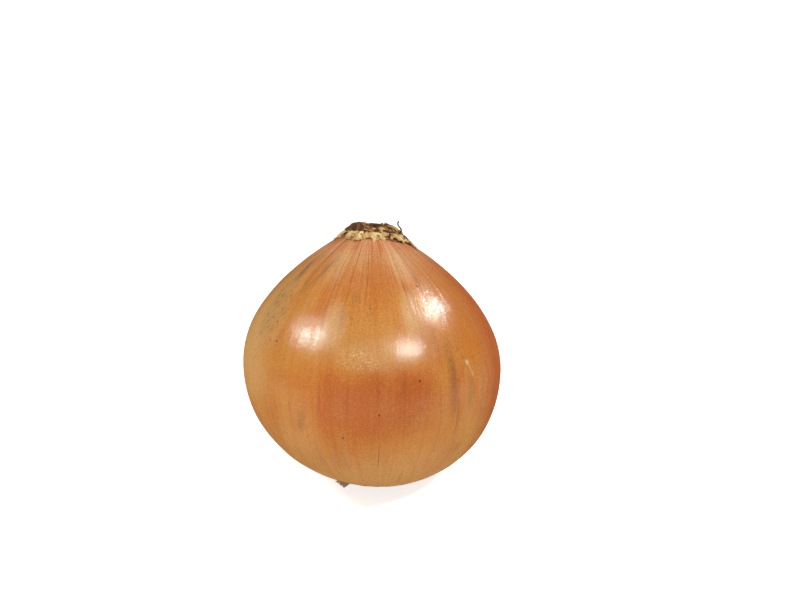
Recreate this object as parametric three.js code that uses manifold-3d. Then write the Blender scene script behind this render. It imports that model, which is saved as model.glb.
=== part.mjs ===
// A yellow storage onion, as it lies on a table with its root end up.
// Millimetres, +Z up. The origin is on the table, under the middle of the onion.
// The bulb and the pieces at its root end are formed round the bulb's own growth axis,
// and then leaned together until the bulb rests on its belly and on its dry neck.

import * as THREE from 'three';
import { mergeVertices } from 'three/addons/utils/BufferGeometryUtils.js';
import Module from 'manifold-3d';

const wasm = await Module();
wasm.setup();

const HALF_TURN = Math.PI;
const FULL_TURN = 2 * Math.PI;
const GAP = 0.3; // between neighbouring pieces

// ---- Driving dimensions ----------------------------------------------------------------

// The bulb
const GIRTH_RADIUS = 42;
const ROOT_END_HEIGHT = 46.2; // girth to the point where the shoulders would meet
const NECK_END_HEIGHT = 39.4; // girth to the bottom of the belly
const SHOULDER_POWER = 1.1; // near 1 makes the shoulders a cone, 2 makes them round
const BELLY_POWER = 2.1;
const AXIS_DRIFT = -1.45; // sideways drift of the growth axis, a girth radius above the girth
const AXIS_BOW = 0.46;
const AXIS_CURL = -1.1;
const TOP_NARROWING = 0.16; // front to back, at the root end
const LEAN_BACK = 12; // degrees
const LEAN_RIGHT = 3; // degrees

// The skin's veins, the flat land under the roots, and the hollow that the neck leaves
const VEIN_COUNT = 28;
const VEIN_HEIGHT = 0.22;
const VEIN_START = 0.25; // latitude where the veins begin to stand out
const VEIN_FULL = 0.7;
const ROOT_LAND_RADIUS = 8.4;
const NECK_HOLLOW_RADIUS = 17;
const NECK_HOLLOW_DEPTH = 2.4;

// The spot that the bulb rests on
const REST_PRESS = 0.4; // how far it is pressed flat

// The crown: the torn skin and the roots at the root end, round one centre
const CROWN_SHIFT = 0.8; // to the right of the shoulder's own centre
const CROWN_DEPTH = 0.72; // front to back, as a share of its width
const SKIN_THICKNESS = 0.6;
const SKIN_INNER_RADIUS = 9.5;
const SKIN_RIM_RADIUS = 9.95;
const SKIN_OUTER_RADIUS = 11.7;
const SKIN_CURL = 0.15; // of the hem off the bulb, and up to twice this
const RIM_LIFT = 1.3; // of the torn skin's upper rim above the shoulder
const RIM_FRONT_LIFT = 0.7; // more of it at the front
const RIM_WAVES = [
  { count: 7, height: 0.14, start: 1 },
  { count: 17, height: 0.1, start: 0 },
];
const HEM_TEETH = [
  { count: 9, height: 0.3, start: 0.6 },
  { count: 23, height: 0.25, start: 0 },
  { count: 37, height: 0.2, start: 0 },
];
const HEM_TONGUES = [
  { middle: -0.12, width: 0.1, length: 2.2 }, // right, in radians
  { middle: -1.5, width: 0.07, length: 0.9 }, // front
  { middle: -2.75, width: 0.16, length: 0.8 }, // left
];

// The roots: a ring of packed ones round a dip, and single ones that stand out of it
const PLATE_RADIUS = 9.1;
const MAT_CREST_RADIUS = 5.6;
const MAT_CREST_HEIGHT = 44.6; // above the girth, front and back
const MAT_HUMP_HEIGHT = 0.9; // more of it, left and right
const MAT_DIP_HEIGHT = 43.7;
const MAT_RIGHT_SPREAD = 0.6;
const MAT_RING_SHARES = [0.3, 0.6, 0.82, 1];
const ROOT_COUNT = 44;
const ROOT_RADIUS = 0.45;
const ROOT_END_THINNING = 0.8;
const ROOT_SIDES = 4;
const ROOT_STATIONS = 6;
const ROOT_SEED = 7;
const ROOT_SPREAD = 0.9; // past the root plate
const ROOT_LENGTH = [3.5, 8.5];
const ROOT_BOW = [0.5, 1.6]; // of its middle away from the crown's centre
const ROOT_ARCH = [0.4, 1]; // of its middle out of the packed roots
const ROOT_SINK = 0.3; // of its ends into them
const GOLDEN_TURN = HALF_TURN * (3 - Math.sqrt(5)); // keeps the roots from lining up
const STANDING_ROOT_HEIGHTS = [42, 43.6, 44.9, 46, 46.8];
const STANDING_ROOT_RADIUS = 8.6;
const STANDING_ROOT_LONGITUDE = -0.35;
const STANDING_ROOT_BEND = 0.4;

// The dry neck, folded flat under the bulb
const NECK_LENGTH = 10.6;
const NECK_BACK_REACH = 5; // behind the middle of the neck's root
const NECK_DIRECTION = 208; // degrees, towards the left and a little to the front
const NECK_ROOT_HALF_WIDTH = 6.4;
const NECK_TIP_HALF_WIDTH = 4.2;
const NECK_ROOT_HEIGHT = 7;
const NECK_TIP_HEIGHT = 1.6;
const NECK_THINNED = 0.75; // of its length, where it is down to its tip's height
const NECK_EDGE_THINNING = 0.45;
const NECK_CRUMPLE = 0.35;
const NECK_PLEAT = 0.4;
const NECK_TEAR = 0.09; // depth of the ragged end, as a share of the length
const NECK_EDGE_LIFT = 0.5;
const NECK_TIP_LIFT = 0.25;
const NECK_STATIONS = 13;
const NECK_COLUMNS = 13;

// Mesh density
const SEGMENTS_PER_VEIN = 3;
const SHOULDER_RINGS = 12;
const BELLY_RINGS = 13;
const SKIN_SEGMENTS = 96;
const MAT_SEGMENTS = 40;

// ---- Shared helpers --------------------------------------------------------------------

/** A repeatable draw of numbers between two limits. */
function seededDraw(seed) {
  let state = seed;
  return ([low, high]) => {
    state = (state * 1664525 + 1013904223) % 4294967296;
    return THREE.MathUtils.lerp(low, high, state / 4294967296);
  };
}

/** Waves of several counts round the crown, added up. */
function wavesAt(waves, longitude) {
  return waves.reduce((sum, wave) => sum + wave.height * Math.sin(wave.count * longitude + wave.start), 0);
}

function middleOf(points) {
  return points.reduce((sum, point) => sum.add(point), new THREE.Vector3()).divideScalar(points.length);
}

/** A closed skin over rings of points, with one point at either end. */
function closedLoft(rings, startPoint, endPoint) {
  const segments = rings[0].length;
  const points = [startPoint, ...rings.flat(), endPoint];
  const last = points.length - 1;
  const lastRing = 1 + (rings.length - 1) * segments;
  const faces = [];
  for (let i = 0; i < segments; i += 1) {
    const next = (i + 1) % segments;
    faces.push(0, 1 + i, 1 + next);
    for (let upper = 1; upper < lastRing; upper += segments) {
      const lower = upper + segments;
      faces.push(upper + i, lower + i, lower + next);
      faces.push(upper + i, lower + next, upper + next);
    }
    faces.push(last, lastRing + next, lastRing + i);
  }
  const geometry = new THREE.BufferGeometry().setFromPoints(points);
  geometry.setIndex(faces);
  return geometry;
}

/** A closed ring whose cross-section, a loop of points, changes as it goes round. */
function closedRing(sections) {
  const corners = sections[0].length;
  const faces = [];
  sections.forEach((section, s) => {
    const here = s * corners;
    const ahead = ((s + 1) % sections.length) * corners;
    for (let c = 0; c < corners; c += 1) {
      const next = (c + 1) % corners;
      faces.push(here + c, ahead + c, ahead + next);
      faces.push(here + c, ahead + next, here + next);
    }
  });
  const geometry = new THREE.BufferGeometry().setFromPoints(sections.flat());
  geometry.setIndex(faces);
  return geometry;
}

function toManifold(geometry) {
  const merged = mergeVertices(geometry);
  const vertProperties = new Float32Array(merged.attributes.position.array);
  const triVerts = new Uint32Array(merged.index.array);
  return new wasm.Manifold(new wasm.Mesh({ numProp: 3, vertProperties, triVerts }));
}

function fromManifold(solid) {
  const { vertProperties, triVerts } = solid.getMesh();
  const geometry = new THREE.BufferGeometry();
  geometry.setAttribute('position', new THREE.BufferAttribute(vertProperties, 3));
  geometry.setIndex(new THREE.BufferAttribute(triVerts, 1));
  return geometry;
}

// ---- The bulb --------------------------------------------------------------------------

/** Height of the shoulder above the girth, at a radius from the growth axis. */
function shoulderProfile(radius) {
  const reach = Math.max(radius, ROOT_LAND_RADIUS) / GIRTH_RADIUS;
  return ROOT_END_HEIGHT * Math.sqrt(Math.max(1 - reach ** SHOULDER_POWER, 0));
}

/** Height of the belly, below the girth, with the shallow hollow round the neck. */
function bellyProfile(radius) {
  const reach = radius / GIRTH_RADIUS;
  const belly = NECK_END_HEIGHT * Math.max(1 - reach ** 2, 0) ** (1 / BELLY_POWER);
  const inHollow = Math.max(1 - (radius / NECK_HOLLOW_RADIUS) ** 2, 0);
  return NECK_HOLLOW_DEPTH * inHollow ** 2 - belly;
}

/** Sideways drift of the growth axis at a height above the girth. */
function axisDrift(height) {
  const rise = height / GIRTH_RADIUS;
  return AXIS_DRIFT * rise + AXIS_BOW * rise ** 2 + AXIS_CURL * rise ** 3;
}

/** How much of its width the bulb keeps from front to back, at a height above the girth. */
function depthShare(height) {
  return 1 - TOP_NARROWING * THREE.MathUtils.clamp(height / GIRTH_RADIUS, 0, 1) ** 3;
}

/** How far a vein swells the skin. */
function veinSwell(latitude, longitude) {
  const fade = THREE.MathUtils.smoothstep(latitude, VEIN_START, VEIN_FULL);
  return VEIN_HEIGHT * fade * Math.max(Math.cos(VEIN_COUNT * longitude), 0);
}

/** A point of the skin. Latitude is 1 at the root end, 0 at the girth and -1 at the neck end. */
function skinPoint(latitude, longitude) {
  const radius = GIRTH_RADIUS * Math.cos((latitude * HALF_TURN) / 2);
  const height = latitude > 0 ? shoulderProfile(radius) : bellyProfile(radius);
  const swell = 1 + veinSwell(latitude, longitude) / GIRTH_RADIUS;
  return new THREE.Vector3(
    radius * Math.cos(longitude) * swell + axisDrift(height),
    radius * Math.sin(longitude) * swell * depthShare(height),
    height * swell,
  );
}

function skinRing(latitude) {
  const segments = VEIN_COUNT * SEGMENTS_PER_VEIN;
  return Array.from({ length: segments }, (_, i) => skinPoint(latitude, (FULL_TURN * i) / segments));
}

/** The bulb round its growth axis, before it leans and rests. */
function uprightBulb() {
  const landLatitude = (2 / HALF_TURN) * Math.acos(ROOT_LAND_RADIUS / GIRTH_RADIUS);
  const rings = [];
  for (let i = 0; i <= SHOULDER_RINGS; i += 1) {
    rings.push(skinRing(landLatitude * (1 - i / SHOULDER_RINGS)));
  }
  for (let i = 1; i < BELLY_RINGS; i += 1) {
    rings.push(skinRing(-i / BELLY_RINGS));
  }
  return closedLoft(rings, skinPoint(1, 0), skinPoint(-1, 0));
}

/** The turn that leans the growth axis back and to the right. */
function leanMatrix() {
  const back = Math.tan(THREE.MathUtils.degToRad(LEAN_BACK));
  const right = Math.tan(THREE.MathUtils.degToRad(LEAN_RIGHT));
  const axis = new THREE.Vector3(right, back, 1).normalize();
  const across = new THREE.Vector3(1, 0, 0).addScaledVector(axis, -axis.x).normalize();
  const away = new THREE.Vector3().crossVectors(axis, across);
  return new THREE.Matrix4().makeBasis(across, away, axis);
}

/** Lean and rise from the growth axis to the table: the lowest skin is a little under the table. */
function standingMatrix() {
  const lean = leanMatrix();
  const leaned = uprightBulb().applyMatrix4(lean);
  leaned.computeBoundingBox();
  const rise = -leaned.boundingBox.min.z - REST_PRESS;
  return new THREE.Matrix4().makeTranslation(0, 0, rise).multiply(lean);
}

/** The standing bulb, with the spot that it rests on pressed flat. */
function bulbGeometry(standing) {
  const bulb = toManifold(uprightBulb().applyMatrix4(standing));
  return fromManifold(bulb.trimByPlane([0, 0, 1], 0));
}

// ---- The torn skin round the roots -----------------------------------------------------

/** Height of the shoulder at a place of the crown. */
function crownGround(x, y) {
  const rootEndShare = depthShare(shoulderProfile(ROOT_LAND_RADIUS));
  return shoulderProfile(Math.hypot(x, y / rootEndShare));
}

/** A point of the crown: round its own centre, and lifted off the shoulder. */
function crownPoint(radius, longitude, lift) {
  const x = CROWN_SHIFT + radius * Math.cos(longitude);
  const y = CROWN_DEPTH * radius * Math.sin(longitude);
  const drift = axisDrift(shoulderProfile(ROOT_LAND_RADIUS));
  return new THREE.Vector3(x + drift, y, crownGround(x, y) + lift);
}

function rimLift(longitude) {
  const front = RIM_FRONT_LIFT * Math.max(-Math.sin(longitude), 0);
  return RIM_LIFT + front + wavesAt(RIM_WAVES, longitude);
}

/** The torn outer edge: a few long tongues, and small teeth between them. */
function tornRadius(longitude) {
  const tongues = HEM_TONGUES.map(({ middle, width, length }) => {
    const away = Math.atan2(Math.sin(longitude - middle), Math.cos(longitude - middle));
    return length * Math.exp(-((away / width) ** 2));
  });
  return SKIN_OUTER_RADIUS + wavesAt(HEM_TEETH, longitude) + Math.max(...tongues);
}

/** The skin's torn edge, turned up into a rim round the roots and down to a ragged hem. */
function tornSkinGeometry() {
  const ground = GAP + VEIN_HEIGHT;
  const sections = Array.from({ length: SKIN_SEGMENTS }, (_, i) => {
    const longitude = (FULL_TURN * i) / SKIN_SEGMENTS;
    const outer = tornRadius(longitude);
    const curl = SKIN_CURL * (1 + Math.sin(5 * longitude) ** 2);
    const rim = rimLift(longitude);
    return [
      crownPoint(SKIN_INNER_RADIUS, longitude, ground),
      crownPoint(outer, longitude, ground + curl),
      crownPoint(outer, longitude, ground + curl + SKIN_THICKNESS),
      crownPoint((SKIN_RIM_RADIUS + outer) / 2, longitude, rim / 2 + ground),
      crownPoint(SKIN_RIM_RADIUS, longitude, rim),
      crownPoint(SKIN_INNER_RADIUS, longitude, rim - GAP),
    ];
  });
  return closedRing(sections);
}

// ---- The roots -------------------------------------------------------------------------

/** Lowest height of a root over the torn skin's rim. */
function overRim(longitude) {
  return crownPoint(SKIN_RIM_RADIUS, longitude, rimLift(longitude) + 1.5 * GAP + ROOT_RADIUS).z;
}

/** A point of the mat, at a height above the girth. */
function matPoint(radius, longitude, height) {
  return crownPoint(radius, longitude, 0).setZ(height);
}

/** Height of the packed roots: a ring round a dip, higher left and right. */
function matTop(radius, longitude) {
  const crest = MAT_CREST_HEIGHT + MAT_HUMP_HEIGHT * Math.cos(longitude) ** 2;
  if (radius < MAT_CREST_RADIUS) {
    const share = THREE.MathUtils.smoothstep(radius, 0, MAT_CREST_RADIUS);
    return THREE.MathUtils.lerp(MAT_DIP_HEIGHT, crest, share);
  }
  const out = (radius - MAT_CREST_RADIUS) / (PLATE_RADIUS - MAT_CREST_RADIUS);
  const edge = Math.min(overRim(longitude) - GAP, crest);
  return THREE.MathUtils.lerp(crest, edge, Math.min(out, 1) ** 2);
}

/** The root plate and the packed roots that the single ones stand out of. */
function matCore() {
  const bottom = shoulderProfile(ROOT_LAND_RADIUS) + GAP;
  const rings = MAT_RING_SHARES.map((share) => matRing((longitude) => {
    const radius = share * PLATE_RADIUS;
    return matPoint(radius, longitude, matTop(radius, longitude));
  }));
  rings.push(matRing((longitude) => matPoint(PLATE_RADIUS, longitude, bottom)));
  return closedLoft(rings, matPoint(0, 0, MAT_DIP_HEIGHT), matPoint(0, 0, bottom));
}

function matRing(pointAt) {
  return Array.from({ length: MAT_SEGMENTS }, (_, i) => pointAt((FULL_TURN * i) / MAT_SEGMENTS));
}

/** A dry root: a thin strand with few sides along a path, pointed at both ends. */
function strand(path, radius) {
  const curve = new THREE.CatmullRomCurve3(path);
  const frames = curve.computeFrenetFrames(ROOT_STATIONS, false);
  const rings = [];
  for (let i = 1; i < ROOT_STATIONS; i += 1) {
    const centre = curve.getPointAt(i / ROOT_STATIONS);
    const thin = i === 1 || i === ROOT_STATIONS - 1 ? ROOT_END_THINNING : 1;
    rings.push(Array.from({ length: ROOT_SIDES }, (_, side) => {
      const turn = (FULL_TURN * side) / ROOT_SIDES;
      return centre.clone()
        .addScaledVector(frames.normals[i], radius * thin * Math.cos(turn))
        .addScaledVector(frames.binormals[i], -radius * thin * Math.sin(turn));
    }));
  }
  return closedLoft(rings, curve.getPointAt(0), curve.getPointAt(1));
}

/** The path of one root: out of the packed ones, curled round over them, and back in. */
function curledPath(index, draw) {
  const middleRadius = (PLATE_RADIUS + ROOT_SPREAD) * Math.sqrt((index + 0.5) / ROOT_COUNT);
  const turn = draw(ROOT_LENGTH) / Math.max(middleRadius, MAT_CREST_RADIUS / 2);
  const sweep = draw([-1, 1]) < 0 ? -turn : turn;
  const bow = draw(ROOT_BOW);
  const slant = draw([-bow, bow]);
  const arch = draw(ROOT_ARCH);
  return Array.from({ length: ROOT_STATIONS }, (_, i) => {
    const along = i / (ROOT_STATIONS - 1) - 0.5;
    const rise = Math.cos(HALF_TURN * along);
    const longitude = GOLDEN_TURN * index + sweep * along;
    const radius = Math.max(middleRadius + (2 * slant * along - bow) * (1 - rise), ROOT_RADIUS);
    const spread = radius + MAT_RIGHT_SPREAD * Math.cos(longitude) * (radius / PLATE_RADIUS) ** 4;
    const height = matTop(spread, longitude) + arch * rise - ROOT_SINK;
    const overEdge = spread > PLATE_RADIUS - GAP;
    return matPoint(spread, longitude, overEdge ? Math.max(height, overRim(longitude)) : height);
  });
}

/** The one root that stands up at the right of the mat. */
function standingPath() {
  return STANDING_ROOT_HEIGHTS.map((height, i) => {
    const radius = STANDING_ROOT_RADIUS + STANDING_ROOT_BEND * Math.sin(1.7 * i);
    return matPoint(radius, STANDING_ROOT_LONGITUDE, height);
  });
}

/** The outer shell alone: roots that cross can close off a pocket of air. */
function outsideOf(solid) {
  return solid.decompose().reduce((outer, shell) => (shell.volume() > outer.volume() ? shell : outer));
}

function rootMatGeometry() {
  const draw = seededDraw(ROOT_SEED);
  let mat = toManifold(matCore());
  for (let i = 0; i < ROOT_COUNT; i += 1) {
    mat = mat.add(toManifold(strand(curledPath(i, draw), ROOT_RADIUS)));
  }
  mat = mat.add(toManifold(strand(standingPath(), ROOT_END_THINNING * ROOT_RADIUS)));
  return fromManifold(outsideOf(mat));
}

// ---- The dry neck ----------------------------------------------------------------------

/** Height of the bulb's underside over a place of the table. */
function undersideOf(bulb) {
  const caster = new THREE.Raycaster();
  const up = new THREE.Vector3(0, 0, 1);
  return (x, y) => {
    caster.set(new THREE.Vector3(x, y, -GIRTH_RADIUS), up);
    return caster.intersectObject(bulb)[0].point.z;
  };
}

/** The neck's crumpled, pleated thickness before the bulb presses on it. */
function neckThickness(along, across) {
  const thinning = THREE.MathUtils.smoothstep(along, 0, NECK_THINNED);
  const middle = THREE.MathUtils.lerp(NECK_ROOT_HEIGHT, NECK_TIP_HEIGHT, thinning);
  const crumple = NECK_CRUMPLE * Math.sin(5.2 * across + 2 * along);
  const pleat = NECK_PLEAT * Math.sin(13 * across - 3 * along);
  return middle * (1 - NECK_EDGE_THINNING * across ** 4) + crumple + pleat;
}

/** The neck pressed flat between the bulb and the table, its cut end ragged. */
function neckGeometry(bulb, standing) {
  const underside = undersideOf(bulb);
  const root = skinPoint(-1, 0).applyMatrix4(standing).setZ(0);
  const turn = THREE.MathUtils.degToRad(NECK_DIRECTION);
  const outward = new THREE.Vector3(Math.cos(turn), Math.sin(turn), 0);
  const sideways = new THREE.Vector3(-Math.sin(turn), Math.cos(turn), 0);
  const place = (along, across) => {
    const rounding = Math.sqrt(1 - 0.7 * Math.min(along, 0) ** 2);
    const halfWidth = THREE.MathUtils.lerp(NECK_ROOT_HALF_WIDTH, NECK_TIP_HALF_WIDTH, Math.max(along, 0));
    const tear = NECK_TEAR * Math.max(along, 0) ** 3 * (Math.sin(6 * across + 1) + Math.sin(15 * across) / 2);
    const reach = along < 0 ? NECK_BACK_REACH * along : NECK_LENGTH * (along + tear);
    const side = halfWidth * rounding * across;
    return root.clone().addScaledVector(outward, reach).addScaledVector(sideways, side);
  };
  const rings = [];
  for (let s = 0; s < NECK_STATIONS; s += 1) {
    const along = THREE.MathUtils.lerp(-1, 1, s / (NECK_STATIONS - 1));
    const lower = [];
    const upper = [];
    for (let c = 0; c < NECK_COLUMNS; c += 1) {
      const across = THREE.MathUtils.lerp(-1, 1, c / (NECK_COLUMNS - 1));
      const foot = place(along, across);
      const edgeLift = NECK_EDGE_LIFT * across ** 8 + NECK_TIP_LIFT * Math.max(along, 0) ** 6;
      const room = underside(foot.x, foot.y) - GAP;
      const top = Math.min(room, neckThickness(along, across));
      lower.push(foot.clone().setZ(Math.min(edgeLift, top - SKIN_THICKNESS)));
      upper.unshift(foot.clone().setZ(top));
    }
    rings.push([...lower, ...upper].reverse());
  }
  return closedLoft(rings, middleOf(rings[0]), middleOf(rings[NECK_STATIONS - 1]));
}

// ---- The onion -------------------------------------------------------------------------

function namedMesh(name, geometry, color, roughness) {
  const material = new THREE.MeshStandardMaterial({ color, roughness, metalness: 0 });
  const mesh = new THREE.Mesh(geometry, material);
  mesh.name = name;
  return mesh;
}

function buildOnion() {
  const standing = standingMatrix();
  const bulb = namedMesh('bulb', bulbGeometry(standing), 0xcd8a4b, 0.35);
  const neck = namedMesh('dry_neck', neckGeometry(bulb, standing), 0xb59a70, 0.8);

  const crown = new THREE.Group();
  crown.applyMatrix4(standing);
  crown.add(namedMesh('torn_skin', tornSkinGeometry(), 0xe2cf9f, 0.75));
  crown.add(namedMesh('root_mat', rootMatGeometry(), 0x4f3b28, 0.85));

  const onion = new THREE.Group();
  onion.add(bulb, neck, crown);
  const middle = new THREE.Box3().setFromObject(onion).getCenter(new THREE.Vector3());
  onion.position.set(-middle.x, -middle.y, 0);
  return onion;
}

export default buildOnion();
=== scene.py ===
"""The looks of a yellow storage onion that lies on a table with its root end up.

The pieces are formed round the bulb's growth axis, in millimetres, and are then leaned
and set down where the fixed solids stand. A place on the skin is given by its latitude,
1 at the root end, 0 at the girth and -1 at the neck end, and by its longitude, in
degrees from the right, with the front at -90.
"""

import logging
import math
from collections.abc import Callable, Sequence
from dataclasses import dataclass
from enum import Enum

import bpy
import numpy as np
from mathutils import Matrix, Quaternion, Vector
from mathutils.bvhtree import BVHTree


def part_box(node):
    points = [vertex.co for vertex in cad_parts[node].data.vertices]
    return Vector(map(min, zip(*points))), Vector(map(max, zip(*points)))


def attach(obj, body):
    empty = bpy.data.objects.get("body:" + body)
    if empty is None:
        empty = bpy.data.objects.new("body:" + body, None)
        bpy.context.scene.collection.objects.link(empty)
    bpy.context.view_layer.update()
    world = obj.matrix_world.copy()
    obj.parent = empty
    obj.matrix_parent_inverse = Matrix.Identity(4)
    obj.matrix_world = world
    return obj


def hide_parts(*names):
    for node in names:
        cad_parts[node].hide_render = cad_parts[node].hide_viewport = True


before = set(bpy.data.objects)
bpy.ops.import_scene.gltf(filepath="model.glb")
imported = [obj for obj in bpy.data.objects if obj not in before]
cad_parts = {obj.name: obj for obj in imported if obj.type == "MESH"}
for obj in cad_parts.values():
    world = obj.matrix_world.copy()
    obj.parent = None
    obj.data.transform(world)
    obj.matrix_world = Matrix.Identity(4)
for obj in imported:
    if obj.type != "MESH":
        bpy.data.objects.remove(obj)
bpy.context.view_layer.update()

LOG = logging.getLogger("onion")
METRES = 0.001
GROWTH_UNIT = 10.0  # millimetres along a root for a unit of its growth mark
STRAND_SIDE = (0.31, 0.52, 0.79)  # a heading that no strand starts along
STRAND_POINT = 0.4  # how far a strand's ends stick out, as a share of its radius there
STRAND_SHIFT = 7.0  # of the growth mark with the tone, so that no two strands look alike
TEAR_RADIUS = 11.0  # of the circle that a torn outline is drawn round
TEAR_WAVES = (6.5, 2.6, 1.2, 0.6)
TEAR_FADE = 0.68  # of each finer wave
NOTCHES = 9
NOTCH_DEPTH = 1.6
NOTCH_HALF_WIDTH = 0.05  # radians
Array = np.ndarray
Socket = bpy.types.NodeSocket
Ports = dict[str, Socket]
Triple = tuple[float, float, float]
Colour = Triple
Pair = tuple[float, float]
Waves = tuple[float, ...]  # a seed, a wavelength and, where it's given, how many waves


class Node(Enum):
    """The solids that the dressed pieces stand for."""

    BULB = "bulb"
    TORN_SKIN = "torn_skin"
    ROOTS = "root_mat"
    NECK = "dry_neck"


class Slot(Enum):
    """The record's material slots."""

    ONION_SKIN = "onion_skin"
    TORN_SKIN = "torn_skin"
    DRY_ROOTS = "dry_roots"
    NECK_PAPER = "neck_paper"


class Mark(Enum):
    """Named values that ride on the points of a mesh, for its finish to read."""

    GROWTH = "growth"  # across the fibres twice, then along them
    WEAR = "wear"  # tone of the sheet or strand, nearness of its edge, height or depth


# ---- Small tools -----------------------------------------------------------------------


def smooth(value: Array, low: float, high: float) -> Array:
    """An eased step: 0 up to the low value, 1 from the high one on."""
    share = np.clip((value - low) / (high - low), 0.0, 1.0)
    return share * share * (3.0 - 2.0 * share)


def bump_at(value: Array, middle: float, width: float) -> Array:
    """A rounded bump, 1 at its middle."""
    return np.exp(-(((value - middle) / width) ** 2))


def linear(red: int, green: int, blue: int) -> Colour:
    """A colour as the shaders want it, from the 0 to 255 that a screen shows.

    Args:
        red: 0 to 255, as the other two are.
        green: Of the colour.
        blue: Of the colour.

    Returns:
        The colour, with channels from 0 to 1.
    """

    def one(channel: int) -> float:
        """One channel, made linear."""
        share = channel / 255.0
        return share / 12.92 if share <= 0.04045 else ((share + 0.055) / 1.055) ** 2.4

    return one(red), one(green), one(blue)


class Ripples:
    """Smooth seeded waves in space, the same on every run."""

    def __init__(self, seed: int, wavelength: float, count: int = 22) -> None:
        """Draw the waves.

        Args:
            seed: Starts the draw.
            wavelength: Of the middle wave, in the units of the points.
            count: How many waves are added up.
        """
        draw = np.random.default_rng(seed)
        heading = draw.normal(size=(count, 3))
        heading /= np.linalg.norm(heading, axis=1, keepdims=True)
        self.waves = heading * (2.0 * np.pi / (wavelength * draw.uniform(0.7, 1.5, (count, 1))))
        self.phases = draw.uniform(0.0, 2.0 * np.pi, count)

    def at(self, points: Array) -> Array:
        """Height of the ripples, mostly between -1 and 1, at points of any array shape."""
        height = np.cos(points @ self.waves.T + self.phases).sum(-1)
        return height * math.sqrt(0.5 / len(self.phases))


def torn(turn: Array, seed: int) -> Array:
    """A torn outline round the crown: lumps, smaller tears in them, and a few deep notches.

    Args:
        turn: Longitudes in radians.
        seed: Starts the draw.

    Returns:
        The outline, mostly between -1 and 1.
    """
    circle = np.stack([np.cos(turn), np.sin(turn), np.zeros_like(turn)], -1) * TEAR_RADIUS
    outline = np.zeros_like(turn)
    for order, wavelength in enumerate(TEAR_WAVES):
        outline += Ripples(seed + order, wavelength).at(circle) * TEAR_FADE**order
    for place in np.random.default_rng(seed).uniform(-np.pi, np.pi, NOTCHES):
        away = np.abs(np.arctan2(np.sin(turn - place), np.cos(turn - place)))
        outline -= NOTCH_DEPTH * np.maximum(1.0 - away / NOTCH_HALF_WIDTH, 0.0)
    return outline


# ---- Closed shells ---------------------------------------------------------------------


@dataclass
class Shell:
    """Points, faces and marks of a closed surface."""

    points: Array
    faces: list[tuple[int, ...]]
    growth: Array
    wear: Array

    @staticmethod
    def joined(shells: Sequence["Shell"]) -> "Shell":
        """Several shells as the parts of one mesh.

        Args:
            shells: In the order that their points are kept in.

        Returns:
            One shell with all of their points, faces and marks.
        """
        faces: list[tuple[int, ...]] = []
        start = 0
        for shell in shells:
            faces.extend(tuple(corner + start for corner in face) for face in shell.faces)
            start += len(shell.points)
        return Shell(
            np.concatenate([shell.points for shell in shells]),
            faces,
            np.concatenate([shell.growth for shell in shells]),
            np.concatenate([shell.wear for shell in shells]),
        )

    def piece(
        self, name: str, node: Node, slot: Slot, material: bpy.types.Material
    ) -> bpy.types.Object:
        """Make the object, which replaces its solid and rides on the root body.

        Args:
            name: Of the object and its mesh.
            node: The solid that it stands for.
            slot: The record's slot that its finish comes from; not used.
            material: What it is dressed in.

        Returns:
            The object.
        """
        mesh = bpy.data.meshes.new(name)
        mesh.from_pydata((self.points * METRES).tolist(), [], self.faces)
        for mark, values in ((Mark.GROWTH, self.growth), (Mark.WEAR, self.wear)):
            layer = mesh.attributes.new(mark.value, "FLOAT_VECTOR", "POINT")
            layer.data.foreach_set("vector", np.asarray(values, np.float32).ravel())
        mesh.polygons.foreach_set("use_smooth", np.ones(len(mesh.polygons), bool))
        mesh.materials.append(material)
        mesh.update()
        thing = bpy.data.objects.new(name, mesh)
        bpy.context.collection.objects.link(thing)
        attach(thing, "root")
        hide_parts(node.value)
        LOG.info("%s: %d points, %d faces", name, len(mesh.vertices), len(mesh.polygons))
        return thing


def grid_normals(grid: Array, wraps: bool) -> Array:
    """Normals of a surface whose points lie in rows and columns.

    Args:
        grid: Rows by columns by 3.
        wraps: Whether the last row is next to the first.

    Returns:
        Unit normals, in the same rows and columns.
    """
    if wraps:
        down = np.roll(grid, -1, 0) - np.roll(grid, 1, 0)
    else:
        down = np.gradient(grid, axis=0)
    normal = np.cross(down, np.gradient(grid, axis=1))
    return normal / np.maximum(np.linalg.norm(normal, axis=-1, keepdims=True), 1e-9)


def quads(index: Array, wraps: bool = False) -> list[tuple[int, ...]]:
    """Four-cornered faces over rows and columns of point numbers.

    Args:
        index: Point numbers, rows by columns.
        wraps: Whether the last row is next to the first.

    Returns:
        The faces, row by row.
    """
    below = np.roll(index, -1, 0) if wraps else index[1:]
    above = index if wraps else index[:-1]
    corners = np.stack([above[:, :-1], below[:, :-1], below[:, 1:], above[:, 1:]], -1)
    return [tuple(face) for face in corners.reshape(-1, 4).tolist()]


def tube_faces(rings: int, around: int) -> list[tuple[int, ...]]:
    """Faces of a tube of rings that a point closes at each end.

    Args:
        rings: How many rings there are; their points come first, ring by ring.
        around: Points in a ring.

    Returns:
        The faces. The two end points are the last ones.
    """
    index = np.arange(rings * around).reshape(rings, around)
    looped = np.concatenate([index, index[:, :1]], 1)
    faces = quads(looped)
    first, last = rings * around, rings * around + 1
    top, bottom = looped[0].tolist(), looped[-1].tolist()
    for i in range(around):
        faces.append((top[i], top[i + 1], first))
        faces.append((bottom[i + 1], bottom[i], last))
    return faces


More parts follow.
